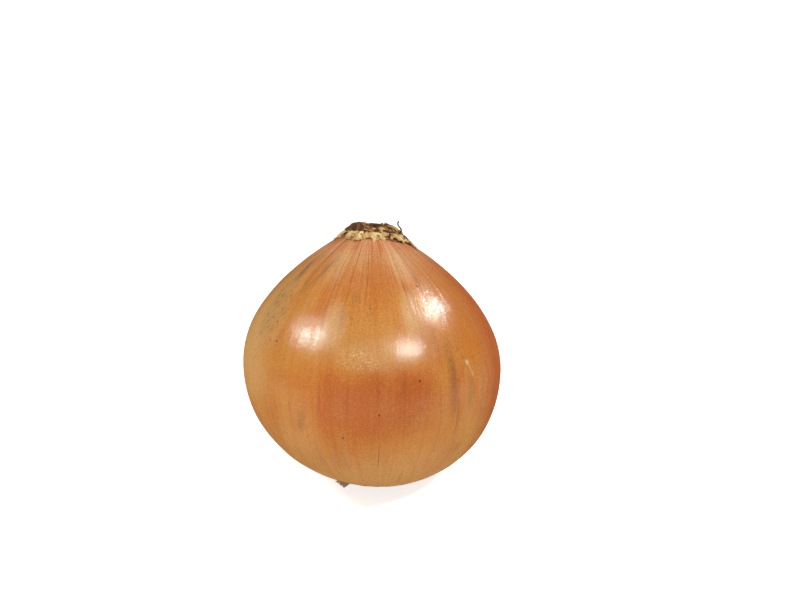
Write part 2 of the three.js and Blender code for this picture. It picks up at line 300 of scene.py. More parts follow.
def sheet_shell(
    middle: Array, thickness: Array, growth: Array, wear: Array, wraps: bool = False
) -> Shell:
    """A thin sheet with two sides and closed edges.

    Args:
        middle: Rows by columns by 3, the surface halfway through the sheet.
        thickness: Rows by columns.
        growth: Growth marks, rows by columns by 3.
        wear: Wear marks, rows by columns by 3.
        wraps: Whether the rows close into a tube.

    Returns:
        The closed sheet.
    """
    rows, columns = middle.shape[:2]
    half = grid_normals(middle, wraps) * thickness[..., None] / 2.0
    index = np.arange(rows * columns).reshape(rows, columns)
    back = index + rows * columns
    faces = quads(index, wraps) + [face[::-1] for face in quads(back, wraps)]
    edges = [(index[:, 0], back[:, 0], True), (index[:, -1], back[:, -1], False)]
    if not wraps:
        edges += [(index[0], back[0], False), (index[-1], back[-1], True)]
    for near, far, flipped in edges:
        loop = list(zip(near.tolist(), far.tolist()))
        pairs = zip(loop, loop[1:] + (loop[:1] if wraps else []))
        for (a, b), (c, d) in pairs:
            faces.append((a, b, d, c) if flipped else (c, d, b, a))
    return Shell(
        np.concatenate([(middle + half).reshape(-1, 3), (middle - half).reshape(-1, 3)]),
        faces,
        np.tile(growth.reshape(-1, 3), (2, 1)),
        np.tile(wear.reshape(-1, 3), (2, 1)),
    )


def strand_shell(
    path: Array, radii: Array, tone: float, turn: float, flat: float = 0.72, sides: int = 6
) -> Shell:
    """A shrivelled strand along a path, pointed at both ends.

    Args:
        path: Stations by 3.
        radii: At each station.
        tone: How pale the strand is, 0 to 1.
        turn: How far its flattened section twists from end to end, in radians.
        flat: Its thickness as a share of its width.
        sides: Round its section.

    Returns:
        The closed strand.
    """
    stations = len(path)
    tangents = np.gradient(path, axis=0)
    tangents /= np.maximum(np.linalg.norm(tangents, axis=1, keepdims=True), 1e-9)
    side = np.cross(tangents[0], STRAND_SIDE)
    rings = np.empty((stations, sides, 3))
    around = np.arange(sides) * 2.0 * np.pi / sides
    for i in range(stations):
        side = side - tangents[i] * (side @ tangents[i])
        side /= max(np.linalg.norm(side), 1e-9)
        other = np.cross(tangents[i], side)
        flattened = flat * np.sin(around)
        spin = turn * i / (stations - 1)
        wide = np.cos(around) * math.cos(spin) - flattened * math.sin(spin)
        tall = np.cos(around) * math.sin(spin) + flattened * math.cos(spin)
        rings[i] = path[i] + radii[i] * (wide[:, None] * side + tall[:, None] * other)
    first = path[0] - tangents[0] * radii[0] * STRAND_POINT
    last = path[-1] + tangents[-1] * radii[-1] * STRAND_POINT
    faces = [(face[0], *face[:0:-1]) for face in tube_faces(stations, sides)]
    along = np.repeat(np.linspace(0.0, 1.0, stations), sides)
    angle = np.tile(around, stations)
    length = np.linalg.norm(np.diff(path, axis=0), axis=1).sum()
    reach = along * length / GROWTH_UNIT + tone * STRAND_SHIFT
    growth = np.stack([np.cos(angle), np.sin(angle), reach], -1)
    wear = np.stack([np.full(len(along), tone), 1.0 - 4.0 * along * (1.0 - along), along], -1)
    end_growth = np.stack([growth[0], growth[-1]])
    end_wear = np.array([[tone, 1.0, 0.0], [tone, 1.0, 1.0]])
    return Shell(
        np.concatenate([rings.reshape(-1, 3), [first, last]]),
        faces,
        np.concatenate([growth, end_growth]),
        np.concatenate([wear, end_wear]),
    )


# ---- The form that everything follows --------------------------------------------------


@dataclass(frozen=True)
class GrowthForm:
    """The bulb's form round its growth axis, and how it leans and stands."""

    girth_radius: float = 42.0
    root_end_height: float = 46.2
    neck_end_height: float = 39.4
    shoulder_power: float = 1.1
    belly_power: float = 2.1
    axis_drift: float = -1.45
    axis_bow: float = 0.46
    axis_curl: float = -1.1
    top_narrowing: float = 0.16
    lean_back: float = 12.0
    lean_right: float = 3.0
    root_land_radius: float = 8.4
    neck_hollow_radius: float = 17.0
    neck_hollow_depth: float = 2.4
    crown_shift: float = 0.8
    crown_depth: float = 0.72
    stand_rings: int = 241  # points that its lowest and highest places are looked for in
    stand_turns: int = 360

    def shoulder(self, radius: Array) -> Array:
        """Height of the shoulder above the girth, at a radius from the axis."""
        reach = np.maximum(radius, self.root_land_radius) / self.girth_radius
        return self.root_end_height * np.sqrt(np.maximum(1.0 - reach**self.shoulder_power, 0.0))

    def belly(self, radius: Array) -> Array:
        """Height of the belly, below the girth, with the hollow round the neck.

        Args:
            radius: From the growth axis.

        Returns:
            Heights above the girth, so negative ones.
        """
        reach = np.maximum(1.0 - (radius / self.girth_radius) ** 2, 0.0)
        hollow = np.maximum(1.0 - (radius / self.neck_hollow_radius) ** 2, 0.0)
        drop = self.neck_end_height * reach ** (1.0 / self.belly_power)
        return self.neck_hollow_depth * hollow**2 - drop

    def drift(self, height: Array) -> Array:
        """Sideways drift of the axis at a height above the girth."""
        rise = height / self.girth_radius
        return self.axis_drift * rise + self.axis_bow * rise**2 + self.axis_curl * rise**3

    def depth_share(self, height: Array) -> Array:
        """How much of its width the bulb keeps from front to back."""
        return 1.0 - self.top_narrowing * np.clip(height / self.girth_radius, 0.0, 1.0) ** 3

    def skin(self, latitude: Array, turn: Array) -> Array:
        """Points of the smooth skin round the upright axis.

        Args:
            latitude: 1 at the root end, -1 at the neck end.
            turn: Longitude in radians.

        Returns:
            Points in the shape of the arguments, by 3.
        """
        latitude, turn = np.broadcast_arrays(latitude, turn)
        radius = self.girth_radius * np.cos(latitude * np.pi / 2.0)
        height = np.where(latitude > 0.0, self.shoulder(radius), self.belly(radius))
        across = radius * np.cos(turn) + self.drift(height)
        return np.stack([across, radius * np.sin(turn) * self.depth_share(height), height], -1)

    def crown(self, radius: Array, turn: Array, lift: Array) -> Array:
        """Points of the crown, round its own centre and lifted off the shoulder.

        Args:
            radius: From the crown's centre.
            turn: Longitude in radians.
            lift: Height above the shoulder.

        Returns:
            Points round the upright axis, by 3.
        """
        x = self.crown_shift + radius * np.cos(turn)
        y = self.crown_depth * radius * np.sin(turn)
        root_end = self.shoulder(np.array(self.root_land_radius))
        ground = self.shoulder(np.hypot(x, y / self.depth_share(root_end)))
        return np.stack([x + self.drift(root_end), y, ground + lift], -1)

    def lean(self) -> Array:
        """The turn from upright to leaning, as a 3 by 3 matrix."""
        right, back = math.radians(self.lean_right), math.radians(self.lean_back)
        tilt = (math.tan(right), math.tan(back), 1.0)
        axis = np.array(tilt) / np.linalg.norm(tilt)
        across = np.array([1.0, 0.0, 0.0]) - axis * axis[0]
        across /= np.linalg.norm(across)
        return np.stack([across, np.cross(axis, across), axis], 1)

    def stand(self) -> Array:
        """How far the leaned form moves to stand where the solid bulb stands."""
        latitude = np.linspace(1.0, -1.0, self.stand_rings)[:, None]
        turn = np.linspace(-np.pi, np.pi, self.stand_turns)[None, :]
        leaned = self.skin(latitude, turn) @ self.lean().T
        low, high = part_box(Node.BULB.value)
        low_edge, high_edge = np.array(low) / METRES, np.array(high) / METRES
        bottom, top = leaned.min((0, 1)), leaned.max((0, 1))
        move = (low_edge + high_edge - bottom - top) / 2.0
        move[2] = high_edge[2] - top[2]
        return move


class Placement:
    """Carries points from round the upright axis to the table."""

    def __init__(self, form: GrowthForm) -> None:
        """Work out the turn and the move once."""
        self.turn = form.lean()
        self.move = form.stand()

    def world(self, points: Array) -> Array:
        """Points on the table, in millimetres, of points round the upright axis."""
        return points @ self.turn.T + self.move


# ---- The bulb --------------------------------------------------------------------------


@dataclass
class Bulb:
    """The bulb in its dry outer skin, with its veins, flutes and puckered neck end."""

    form: GrowthForm
    place: Placement
    vein_count: int = 28
    segments_per_vein: int = 14
    shoulder_rings: int = 118
    belly_rings: int = 114
    vein_height: float = 0.1
    vein_width: float = 0.14
    vein_start: float = 0.3
    vein_full: float = 0.72
    flute_height: float = 0.035
    swell_height: float = 0.16
    pillow_height: float = 0.03
    pucker_height: float = 0.5
    press_softness: float = 0.12
    vein_offset: float = 2.6  # degrees
    crowd_shift: float = 7.2  # degrees
    crowd_middle: float = -135.0  # degrees
    crowd_width: float = 26.0  # degrees
    wobble: float = 0.9  # degrees
    flute_waves: Waves = (3, 7.5)
    fine_flute_waves: Waves = (5, 2.6, 30)
    fine_flute_share: float = 0.4
    flute_stretch: float = 0.22
    swell_waves: Waves = (8, 34.0, 14)
    crease_waves: Waves = (12, 9.0, 12)
    crease_middle: float = 0.6
    pillow_reach: Pair = (0.05, 0.5)  # latitude, from the girth
    pucker_start: Pair = (0.66, 0.9)  # latitude, towards the neck
    pucker_end: Pair = (0.93, 1.0)
    plain_reach: Pair = (2.0, 12.0)  # radius round the ends, without relief
    land_share: float = 0.9  # of the flat's radius, where the first ring lies
    ring_power: float = 0.94  # brings the upper rings closer together near the roots
    turn_samples: int = 1441

    def vein_turn(self, turn: Array) -> Array:
        """True longitude of an evenly spaced one: the veins crowd together at the left front.

        Args:
            turn: Evenly spaced longitudes in radians.

        Returns:
            True longitudes in radians.
        """
        middle, width = math.radians(self.crowd_middle), math.radians(self.crowd_width)
        crowd = np.radians(self.crowd_shift) * bump_at(turn, middle, width)
        wobble = np.radians(self.wobble) * np.sin(5.0 * turn + 0.4)
        wobble = wobble * np.cos(turn / 2.0 - 0.8) ** 2
        return turn - np.radians(self.vein_offset) + crowd + wobble

    def even_turn(self, longitude: float) -> float:
        """Evenly spaced longitude, in radians, whose true one is given in degrees."""
        even = np.linspace(-np.pi, np.pi, self.turn_samples)
        return float(np.interp(math.radians(longitude), self.vein_turn(even), even))

    def relief(self, latitude: Array, turn: Array, points: Array) -> Array:
        """How far the skin stands off the smooth form.

        Args:
            latitude: Rings by 1.
            turn: 1 by segments, evenly spaced longitudes.
            points: Points of the smooth form.

        Returns:
            Heights in millimetres, rings by segments.
        """
        radius = self.form.girth_radius * np.cos(latitude * np.pi / 2.0)
        wave = np.cos(self.vein_count * turn)
        veins = self.vein_height * smooth(latitude, self.vein_start, self.vein_full)
        veins = veins * np.exp(-(1.0 - wave) / self.vein_width)
        pillow = self.pillow_height * smooth(np.abs(latitude), *self.pillow_reach)
        pillow = pillow * (0.5 - 0.5 * wave)
        stretched = np.stack(
            [points[..., 0], points[..., 1], points[..., 2] * self.flute_stretch], -1
        )
        flutes = self.flute_height * Ripples(*self.flute_waves).at(stretched)
        fine_height = self.fine_flute_share * self.flute_height
        flutes += fine_height * Ripples(*self.fine_flute_waves).at(stretched)
        swells = self.swell_height * Ripples(*self.swell_waves).at(points)
        pucker = smooth(-latitude, *self.pucker_start)
        pucker = pucker * (1.0 - smooth(-latitude, *self.pucker_end))
        bent = Ripples(*self.crease_waves).at(points)
        creases = np.abs(np.sin(self.vein_count * turn / 2.0 + bent))
        pucker = pucker * self.pucker_height * (creases - self.crease_middle)
        fade = smooth(radius, *self.plain_reach)
        return (veins + pillow + flutes + swells) * fade + pucker

    def shell(self) -> Shell:
        """The whole skin, pressed flat where it rests.

        Returns:
            The closed shell, on the table.
        """
        form = self.form
        land = math.acos(self.land_share * form.root_land_radius / form.girth_radius)
        land = 2.0 / np.pi * land
        upper = land * np.linspace(1.0, 0.0, self.shoulder_rings) ** self.ring_power
        lower = -np.linspace(0.0, 1.0, self.belly_rings)[1:-1]
        latitude = np.concatenate([upper, lower])[:, None]
        segments = self.vein_count * self.segments_per_vein
        even = (np.arange(segments) * 2.0 * np.pi / segments - np.pi)[None, :]
        smooth_skin = form.skin(latitude, self.vein_turn(even))
        around = np.roll(smooth_skin, -1, 1) - np.roll(smooth_skin, 1, 1)
        normal = np.cross(around, -np.gradient(smooth_skin, axis=0))
        normal /= np.maximum(np.linalg.norm(normal, axis=-1, keepdims=True), 1e-9)
        outward = np.sign(np.sum(normal * smooth_skin, -1, keepdims=True))
        relief = self.relief(latitude, even, smooth_skin)[..., None]
        skin = smooth_skin + normal * outward * relief
        ends = form.skin(np.array([1.0, -1.0]), np.zeros(2))
        points = self.place.world(np.concatenate([skin.reshape(-1, 3), ends]))
        height = points[:, 2]
        points[:, 2] = (height + np.sqrt(height**2 + self.press_softness**2)) / 2.0
        growth = np.stack(np.broadcast_arrays(np.cos(even), np.sin(even), latitude), -1)
        growth = np.concatenate([growth.reshape(-1, 3), [[0.0, 0.0, 1.0], [0.0, 0.0, -1.0]]])
        faces = tube_faces(len(latitude), segments)
        return Shell(points, faces, growth, np.zeros_like(points))

    def build(self, material: bpy.types.Material) -> bpy.types.Object:
        """Make the bulb and dress it."""
        return self.shell().piece("bulb_skin", Node.BULB, Slot.ONION_SKIN, material)


# ---- The torn skin round the roots -----------------------------------------------------


@dataclass(frozen=True)
class Flake:
    """One torn sheet of shed skin, between two longitudes of the crown."""

    name: str
    start: float  # degrees
    end: float
    inner_radius: float
    outer_radius: float
    rim_lift: float
    hem_lift: float
    tone: float  # 1 is cream, 0 is brown
    seed: int
    ragged: float = 0.35
    rim_ragged: float = 0.22
    thickness: float = 0.16
    bulge: float = 0.25
    taper: float = 0.0  # how much it narrows to a point at its hem
    tongues: tuple[tuple[float, float, float], ...] = ()  # longitude, half width, length


@dataclass
class TornSkin:
    """The shed skins' torn edges: a cream collar of overlapping sheets."""

    form: GrowthForm
    place: Placement
    step: float = 0.6  # degrees between points
    columns: int = 17
    front_lift: float = 0.8  # more of the rim at the front
    rounding: float = 0.75  # of a flake's two corners
    rim_power: float = 1.3
    bulge_power: float = 0.8
    crumple_height: float = 0.42
    crumple_wavelength: float = 3.6
    fine_crumple: float = 0.6
    fine_crumple_wavelength: float = 1.5
    plain_below: float = 0.11  # flakes less ragged than this aren't crumpled
    edge_thinning: float = 0.65
    fibre_reach: float = 0.4  # of the growth mark, from rim to hem
    flakes: tuple[Flake, ...] = (
        # A dark brown sheet under the hem: a painted shadow beneath the flakes, reaching out under
        # the right and left flakes.
        Flake(
            "hem_shadow_sheet", -180.0, 180.0, 9.4, 10.9, 0.5, 0.16, 0.1, 21, 0.5, 0.1, 0.1, 0.1,
            tongues=((-49.0, 5.0, 0.4), (-154.0, 5.0, 0.9)),
        ),
        Flake("inner_collar", -180.0, 180.0, 9.1, 9.7, 1.05, 0.5, 0.4, 22, 0.1, 0.3, 0.14, 0.0),
        Flake(
            "front_band", -151.0, -62.0, 9.3, 11.15, 1.15, 0.5, 0.95, 23, 0.36, 0.2, 0.2, 0.5,
            tongues=((-139.0, 8.0, 1.5), (-117.0, 9.0, 1.6), (-88.5, 3.6, 1.5), (-72.0, 4.0, 0.5)),
        ),
        Flake(
            "right_flake", -66.0, -26.0, 9.3, 10.6, 1.1, 1.3, 0.92, 24, 0.4, 0.2, 0.2, 0.4,
            tongues=((-37.0, 7.0, 1.4), (-58.0, 4.0, 0.4)),
        ),
        Flake(
            "far_flake", -36.0, 12.0, 9.6, 11.2, 1.0, 0.6, 0.75, 25, 0.5, 0.2, 0.18, 0.35,
            tongues=((-17.0, 7.0, 2.2),),
        ),
        Flake("straw_tail", -20.0, -2.0, 10.4, 15.0, 0.9, 0.22, 0.6, 26, 0.2, 0.1, 0.2, 0.25, 0.7),
        Flake(
            "left_flake", -208.0, -156.0, 9.6, 11.1, 0.95, 0.6, 0.8, 27, 0.45, 0.3, 0.18, 0.35,
            tongues=((-171.0, 7.0, 1.9),),
        ),
        Flake(
            "back_band", 4.0, 104.0, 9.5, 11.4, 1.0, 0.5, 0.8, 28, 0.5, 0.3, 0.18, 0.4,
            tongues=((34.0, 6.0, 1.0), (70.0, 9.0, 0.7)),
        ),
        Flake(
            "back_flake", 92.0, 160.0, 9.6, 11.6, 1.05, 0.55, 0.62, 29, 0.5, 0.3, 0.18, 0.4,
            tongues=((128.0, 8.0, 1.1),),
        ),
    )

    def sheet(self, flake: Flake) -> Shell:
        """One flake, from its rim over the collar and down to its ragged hem.

        Args:
            flake: Its sizes.

        Returns:
            The closed sheet, on the table.
        """
        rows = max(int((flake.end - flake.start) / self.step), 8) + 1
        whole = flake.end - flake.start >= 360.0
        degrees = np.linspace(flake.start, flake.end, rows, endpoint=not whole)[:, None]
        turn = np.radians(degrees)
        down = np.linspace(0.0, 1.0, self.columns)[None, :]
        side = 0.0 if whole else 2.0 * (degrees - flake.start) / (flake.end - flake.start) - 1.0
        hem = flake.outer_radius + flake.ragged * torn(turn, flake.seed)
        for middle, width, length in flake.tongues:
            hem = hem + length * bump_at(degrees, middle, width)
        rounding = 1.0 - self.rounding * np.abs(side) ** 5 * np.ones_like(turn)
        hem = flake.inner_radius + (hem - flake.inner_radius) * rounding
        rim = flake.rim_lift + flake.rim_ragged * torn(turn, flake.seed + 40)
        rim = rim + self.front_lift * np.maximum(-np.sin(turn), 0.0)
        radius = flake.inner_radius + (hem - flake.inner_radius) * down
        lift = rim * (1.0 - down) ** self.rim_power + flake.hem_lift * down
        lift = lift + flake.bulge * np.sin(np.pi * down**self.bulge_power)
        centre = math.radians((flake.start + flake.end) / 2.0)
        turn = centre + (turn - centre) * (1.0 - flake.taper * down)
        middle = self.form.crown(radius, turn, lift)
        crumple = Ripples(flake.seed + 80, self.crumple_wavelength).at(middle)
        fine = Ripples(flake.seed + 90, self.fine_crumple_wavelength).at(middle)
        crumple = crumple + self.fine_crumple * fine
        if flake.ragged >= self.plain_below:
            middle[..., 2] += self.crumple_height * crumple * (0.3 + down)
        edge = np.broadcast_to(np.maximum(down**4, np.abs(side) ** 12), radius.shape)
        thickness = flake.thickness * (1.0 - self.edge_thinning * edge)
        reach = np.broadcast_to(down * self.fibre_reach, radius.shape)
        growth = np.stack([np.cos(turn), np.sin(turn), reach], -1)
        wear = np.stack(np.broadcast_arrays(np.full_like(radius, flake.tone), edge, down), -1)
        return sheet_shell(self.place.world(middle), thickness, growth, wear, whole)

    def build(self, material: bpy.types.Material) -> bpy.types.Object:
        """Make the collar and dress it."""
        LOG.info("torn sheets: %s", ", ".join(flake.name for flake in self.flakes))
        shell = Shell.joined([self.sheet(flake) for flake in self.flakes])
        return shell.piece("torn_collar", Node.TORN_SKIN, Slot.TORN_SKIN, material)


# ---- The roots -------------------------------------------------------------------------


class Lie(Enum):
    """How a root lies in the mat."""

    RING = "curled round the crown"
    ARCH = "out of the dip and over the edge"
    CURL = "a small loose curl"
    SKIRT = "along the side of the mat, over the torn skin"


@dataclass
class RootMat:
    """The root plate and its mat of dry curled roots, round a dip."""

    form: GrowthForm
    place: Placement
    plate_radius: float = 9.1
    crest_radius: float = 5.6
    crest_height: float = 44.6
    hump_height: float = 0.5
    dip_height: float = 43.7
    right_reach: float = 0.7
    right_early: float = 1.3  # how much sooner the mat falls away at the right
    rim_clearance: float = 1.25
    root_radius: float = 0.31
    front_dip: float = 0.38
    front_dip_turn: float = -1.72  # radians
    front_dip_width: float = 0.3
    skirt_slope: float = 0.35
    skirt_reach: float = 2.0
    counts: tuple[tuple[Lie, int], ...] = (
        (Lie.RING, 170), (Lie.ARCH, 70), (Lie.CURL, 12), (Lie.SKIRT, 110),
    )
    stations: int = 19
    seed: int = 7
    # The core, under the roots.
    core_rings: int = 22
    core_turns: int = 96
    core_depth: float = 0.8
    core_inset: float = 0.25
    core_lumps: float = 0.3
    core_waves: Waves = (31, 1.6)
    core_dip: float = 0.6
    core_foot: float = 0.2
    core_tone: float = 0.05
    # The one root that stands up.
    hook_stations: int = 22
    hook_place: Pair = (8.5, -0.4)  # radius, and longitude in radians
    hook_foot: float = 43.2
    hook_height: float = 4.1
    hook_radius: float = 0.38
    hook_bend: float = 0.45
    hook_out: float = 0.5
    hook_left: float = 0.7
    hook_taper: float = 0.4
    hook_tone: float = 0.25
    hook_twist: float = 2.0
    # Lift of a root at its ends, in its middle, and more of it there where it stands proud.
    arch_lift: Triple = (-0.35, 0.5, 0.75)
    ring_lift: Triple = (-0.3, 0.35, 0.7)
    # Ranges of the draws.
    arch_start: Pair = (1.5, 5.5)
    arch_end: Pair = (8.2, 10.2)
    arch_swing: Pair = (-0.7, 0.7)
    arch_bends: Pair = (5, 12)
    curl_size: Pair = (0.35, 0.9)
    curl_middle: Pair = (4.0, 9.2)
    curl_winding: Pair = (3.4, 6.0)
    skirt_length: Pair = (4.0, 11.0)
    skirt_middle: Pair = (8.0, 9.7)
    skirt_slant: Pair = (-1.2, 1.2)
    skirt_lift: Pair = (-0.4, 0.1)
    ring_length: Pair = (5.0, 14.0)
    ring_bow: Pair = (0.2, 1.3)
    ring_slant: Pair = (-1.4, 1.4)
    ring_area: Pair = (0.08, 1.0)
    wiggle: Pair = (0.06, 0.2)
    wiggles: Pair = (9.0, 22.0)
    rises: Pair = (9.0, 20.0)
    thickness: Pair = (0.6, 1.3)
    beads: Pair = (9.0, 25.0)
    twist: Pair = (-4.0, 4.0)
    # How the draws become thickness and tone.
    bead_height: float = 0.14
    thinnest_end: float = 0.25
    end_power: float = 0.35  # how late a root thins out towards its ends
    curl_thinness: float = 0.6
    least_pale: float = 0.06
    drawn_pale: float = 0.58
    # Painted highlight: strands that stand proud are made paler, as if lit from above.
    proud_highlight: float = 0.34
    pale_draws: Pair = (0.45, 0.95)
    curl_pale: float = 0.5

    def top(self, radius: Array, turn: Array) -> Array:
        """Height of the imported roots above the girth: a ring round a dip.

        Args:
            radius: From the crown's centre.
            turn: Longitude in radians.

        Returns:
            Heights in millimetres.
        """
        edge = self.edge(turn)
        dip = self.front_dip * bump_at(turn, self.front_dip_turn, self.front_dip_width)
        crest = self.crest_height + self.hump_height * np.cos(turn) ** 2 - dip
        crest_radius = self.crest_radius - self.right_early * np.maximum(np.cos(turn), 0.0)
        inner = self.dip_height + (crest - self.dip_height) * smooth(radius, 0.0, crest_radius)
        out = np.maximum((radius - crest_radius) / (edge - crest_radius), 0.0)
        ground = self.ground(np.maximum(radius, edge), turn)
        outer = crest + (np.minimum(ground, crest) - crest) * np.minimum(out, 1.0) ** 1.5
        return np.where(radius < crest_radius, inner, outer)

    def edge(self, turn: Array) -> Array:
        """Radius of the mat's edge, which reaches further at the right."""
        return self.plate_radius + self.right_reach * np.maximum(np.cos(turn), 0.0) ** 2

    def ground(self, radius: Array, turn: Array) -> Array:
        """Height of the torn skin that the outer roots lie on."""
        out = np.clip(radius - self.plate_radius, 0.0, self.skirt_reach)
        lift = self.rim_clearance - self.skirt_slope * out
        return self.form.crown(radius, turn, lift)[..., 2]

    def at(self, radius: Array, turn: Array, height: Array) -> Array:
        """Points of the mat at heights above the girth."""
        points = self.form.crown(radius, turn, 0.0 * radius)
        points[..., 2] = height
        return points

    def core(self) -> Shell:
        """The dark root plate that the roots hide."""
        share = np.concatenate([np.linspace(0.02, 1.0, self.core_rings), [1.0]])[None, :]
        turn = np.linspace(-np.pi, np.pi, self.core_turns, endpoint=False)[:, None]
        radius = share * (self.plate_radius - self.core_inset) * np.ones_like(turn)
        turn = turn * np.ones_like(share)
        points = self.at(radius, turn, self.top(radius, turn) - self.core_depth)
        points[..., 2] += self.core_lumps * Ripples(*self.core_waves).at(points)
        bottom = float(self.form.shoulder(np.array(self.form.root_land_radius)))
        foot = bottom + self.core_foot
        points[:, -1, 2] = foot
        grid = points.transpose(1, 0, 2)
        heights = np.array([self.dip_height - self.core_dip, foot])
        ends = self.at(np.zeros(2), np.zeros(2), heights)
        points = self.place.world(np.concatenate([grid.reshape(-1, 3), ends]))
        wear = np.tile([self.core_tone, 0.0, 0.0], (len(points), 1))
        faces = tube_faces(share.shape[1], self.core_turns)
        return Shell(points, faces, points / GROWTH_UNIT, wear)

    def path(self, lie: Lie, draw: np.random.Generator) -> tuple[Array, float, float]:
        """The path of one root.

        Args:
            lie: How it lies.
            draw: The seeded draw.

        Returns:
            Its points round the upright axis, its tone and how far it stands proud.
        """
        share = np.linspace(-0.5, 0.5, self.stations)
        rise = np.cos(np.pi * share)
        start = draw.uniform(-np.pi, np.pi)
        proud = draw.uniform(0.0, 1.0)
        if lie is Lie.ARCH:
            inner, outer = draw.uniform(*self.arch_start), draw.uniform(*self.arch_end)
            radius = inner + (outer - inner) * (share + 0.5)
            turn = start + draw.uniform(*self.arch_swing) * share
            turn = turn + 0.08 * np.sin(share * draw.uniform(*self.arch_bends))
            low, least, more = self.arch_lift
            lift = low + (least + more * proud) * rise
        elif lie is Lie.CURL:
            size = draw.uniform(*self.curl_size)
            middle = draw.uniform(*self.curl_middle)
            spin = draw.uniform(0.0, 2.0 * np.pi) + share * draw.uniform(*self.curl_winding)
            radius = middle + size * np.cos(spin)
            turn = start + size * np.sin(spin) / middle
            lift = 0.25 + 0.5 * proud + size * 0.7 * np.sin(spin * 0.7 + start)
        elif lie is Lie.SKIRT:
            sweep = draw.uniform(*self.skirt_length) / self.plate_radius
            radius = draw.uniform(*self.skirt_middle) + draw.uniform(*self.skirt_slant) * share
            radius = radius + 0.3 * rise
            turn = start + sweep * share
            lift = draw.uniform(*self.skirt_lift) + 0.4 * rise
            # Side strands get half the painted highlight.
            proud *= 0.5
        else:
            middle = (self.plate_radius + 0.9) * math.sqrt(draw.uniform(*self.ring_area))
            sweep = draw.uniform(*self.ring_length) / max(middle, self.crest_radius / 2.0)
            bow, slant = draw.uniform(*self.ring_bow), draw.uniform(*self.ring_slant)
            radius = np.maximum(middle + (2.0 * slant * share - bow) * (1.0 - rise), 0.3)
            turn = start + sweep * share
            low, least, more = self.ring_lift
            lift = low + (least + more * proud) * rise
        if lie is not Lie.SKIRT:
            lift = lift * (1.0 - 0.6 * smooth(radius, 5.5, 9.0))
        wiggle = draw.uniform(*self.wiggle)
        radius = radius + wiggle * np.sin(share * draw.uniform(*self.wiggles) + start)
        widened = self.edge(turn) / self.plate_radius - 1.0
        radius = radius * (1.0 + widened * (radius / self.plate_radius) ** 2)
        height = self.top(radius, turn) + lift
        height = height + wiggle * np.sin(share * draw.uniform(*self.rises))
        over = radius > self.edge(turn) - 0.3
        height = np.where(over, np.maximum(height, self.ground(radius, turn) - 0.2), height)
        return self.at(radius, turn, height), float(draw.uniform(0.0, 1.0)), proud

    def standing_root(self) -> Shell:
        """The one thin root that stands up at the right, with a hook at its end."""
        share = np.linspace(0.0, 1.0, self.hook_stations)
        height = self.hook_foot + self.hook_height * share
        radius, turn = self.hook_place
        radius = radius + self.hook_bend * np.sin(5.5 * share) + self.hook_out * share**2
        turn = turn + 0.06 * np.sin(7.0 * share)
        path = self.place.world(self.at(radius, turn, height))
        path[:, 0] -= self.hook_left * share**3
        radii = self.hook_radius * (1.0 - self.hook_taper * share)
        return strand_shell(path, radii, self.hook_tone, self.hook_twist)

    def build(self, material: bpy.types.Material) -> bpy.types.Object:
        """Make the mat and dress it.

        Args:
            material: Dry roots.

        Returns:
            The piece.
        """
        draw = np.random.default_rng(self.seed)
        shells = [self.core(), self.standing_root()]
        taper = np.sin(np.linspace(0.0, np.pi, self.stations)) ** self.end_power
        taper = np.maximum(taper, self.thinnest_end)
        for lie, count in self.counts:
            for _ in range(count):
                path, tone, proud = self.path(lie, draw)
                radius = self.root_radius * draw.uniform(*self.thickness)
                # Paler by its drawn tone, and by a painted highlight where it stands proud.
                pale = self.drawn_pale * float(smooth(tone, *self.pale_draws))
                pale = pale + self.proud_highlight * proud
                if lie is Lie.CURL:
                    radius, pale = radius * self.curl_thinness, pale * self.curl_pale
                along = np.linspace(0.0, draw.uniform(*self.beads), self.stations)
                radii = radius * taper * (1.0 + self.bead_height * np.sin(along))
                twist = draw.uniform(*self.twist)
                path = self.place.world(path)
                shells.append(strand_shell(path, radii, self.least_pale + pale, twist))
        return Shell.joined(shells).piece("root_tangle", Node.ROOTS, Slot.DRY_ROOTS, material)


# ---- The dry neck ----------------------------------------------------------------------


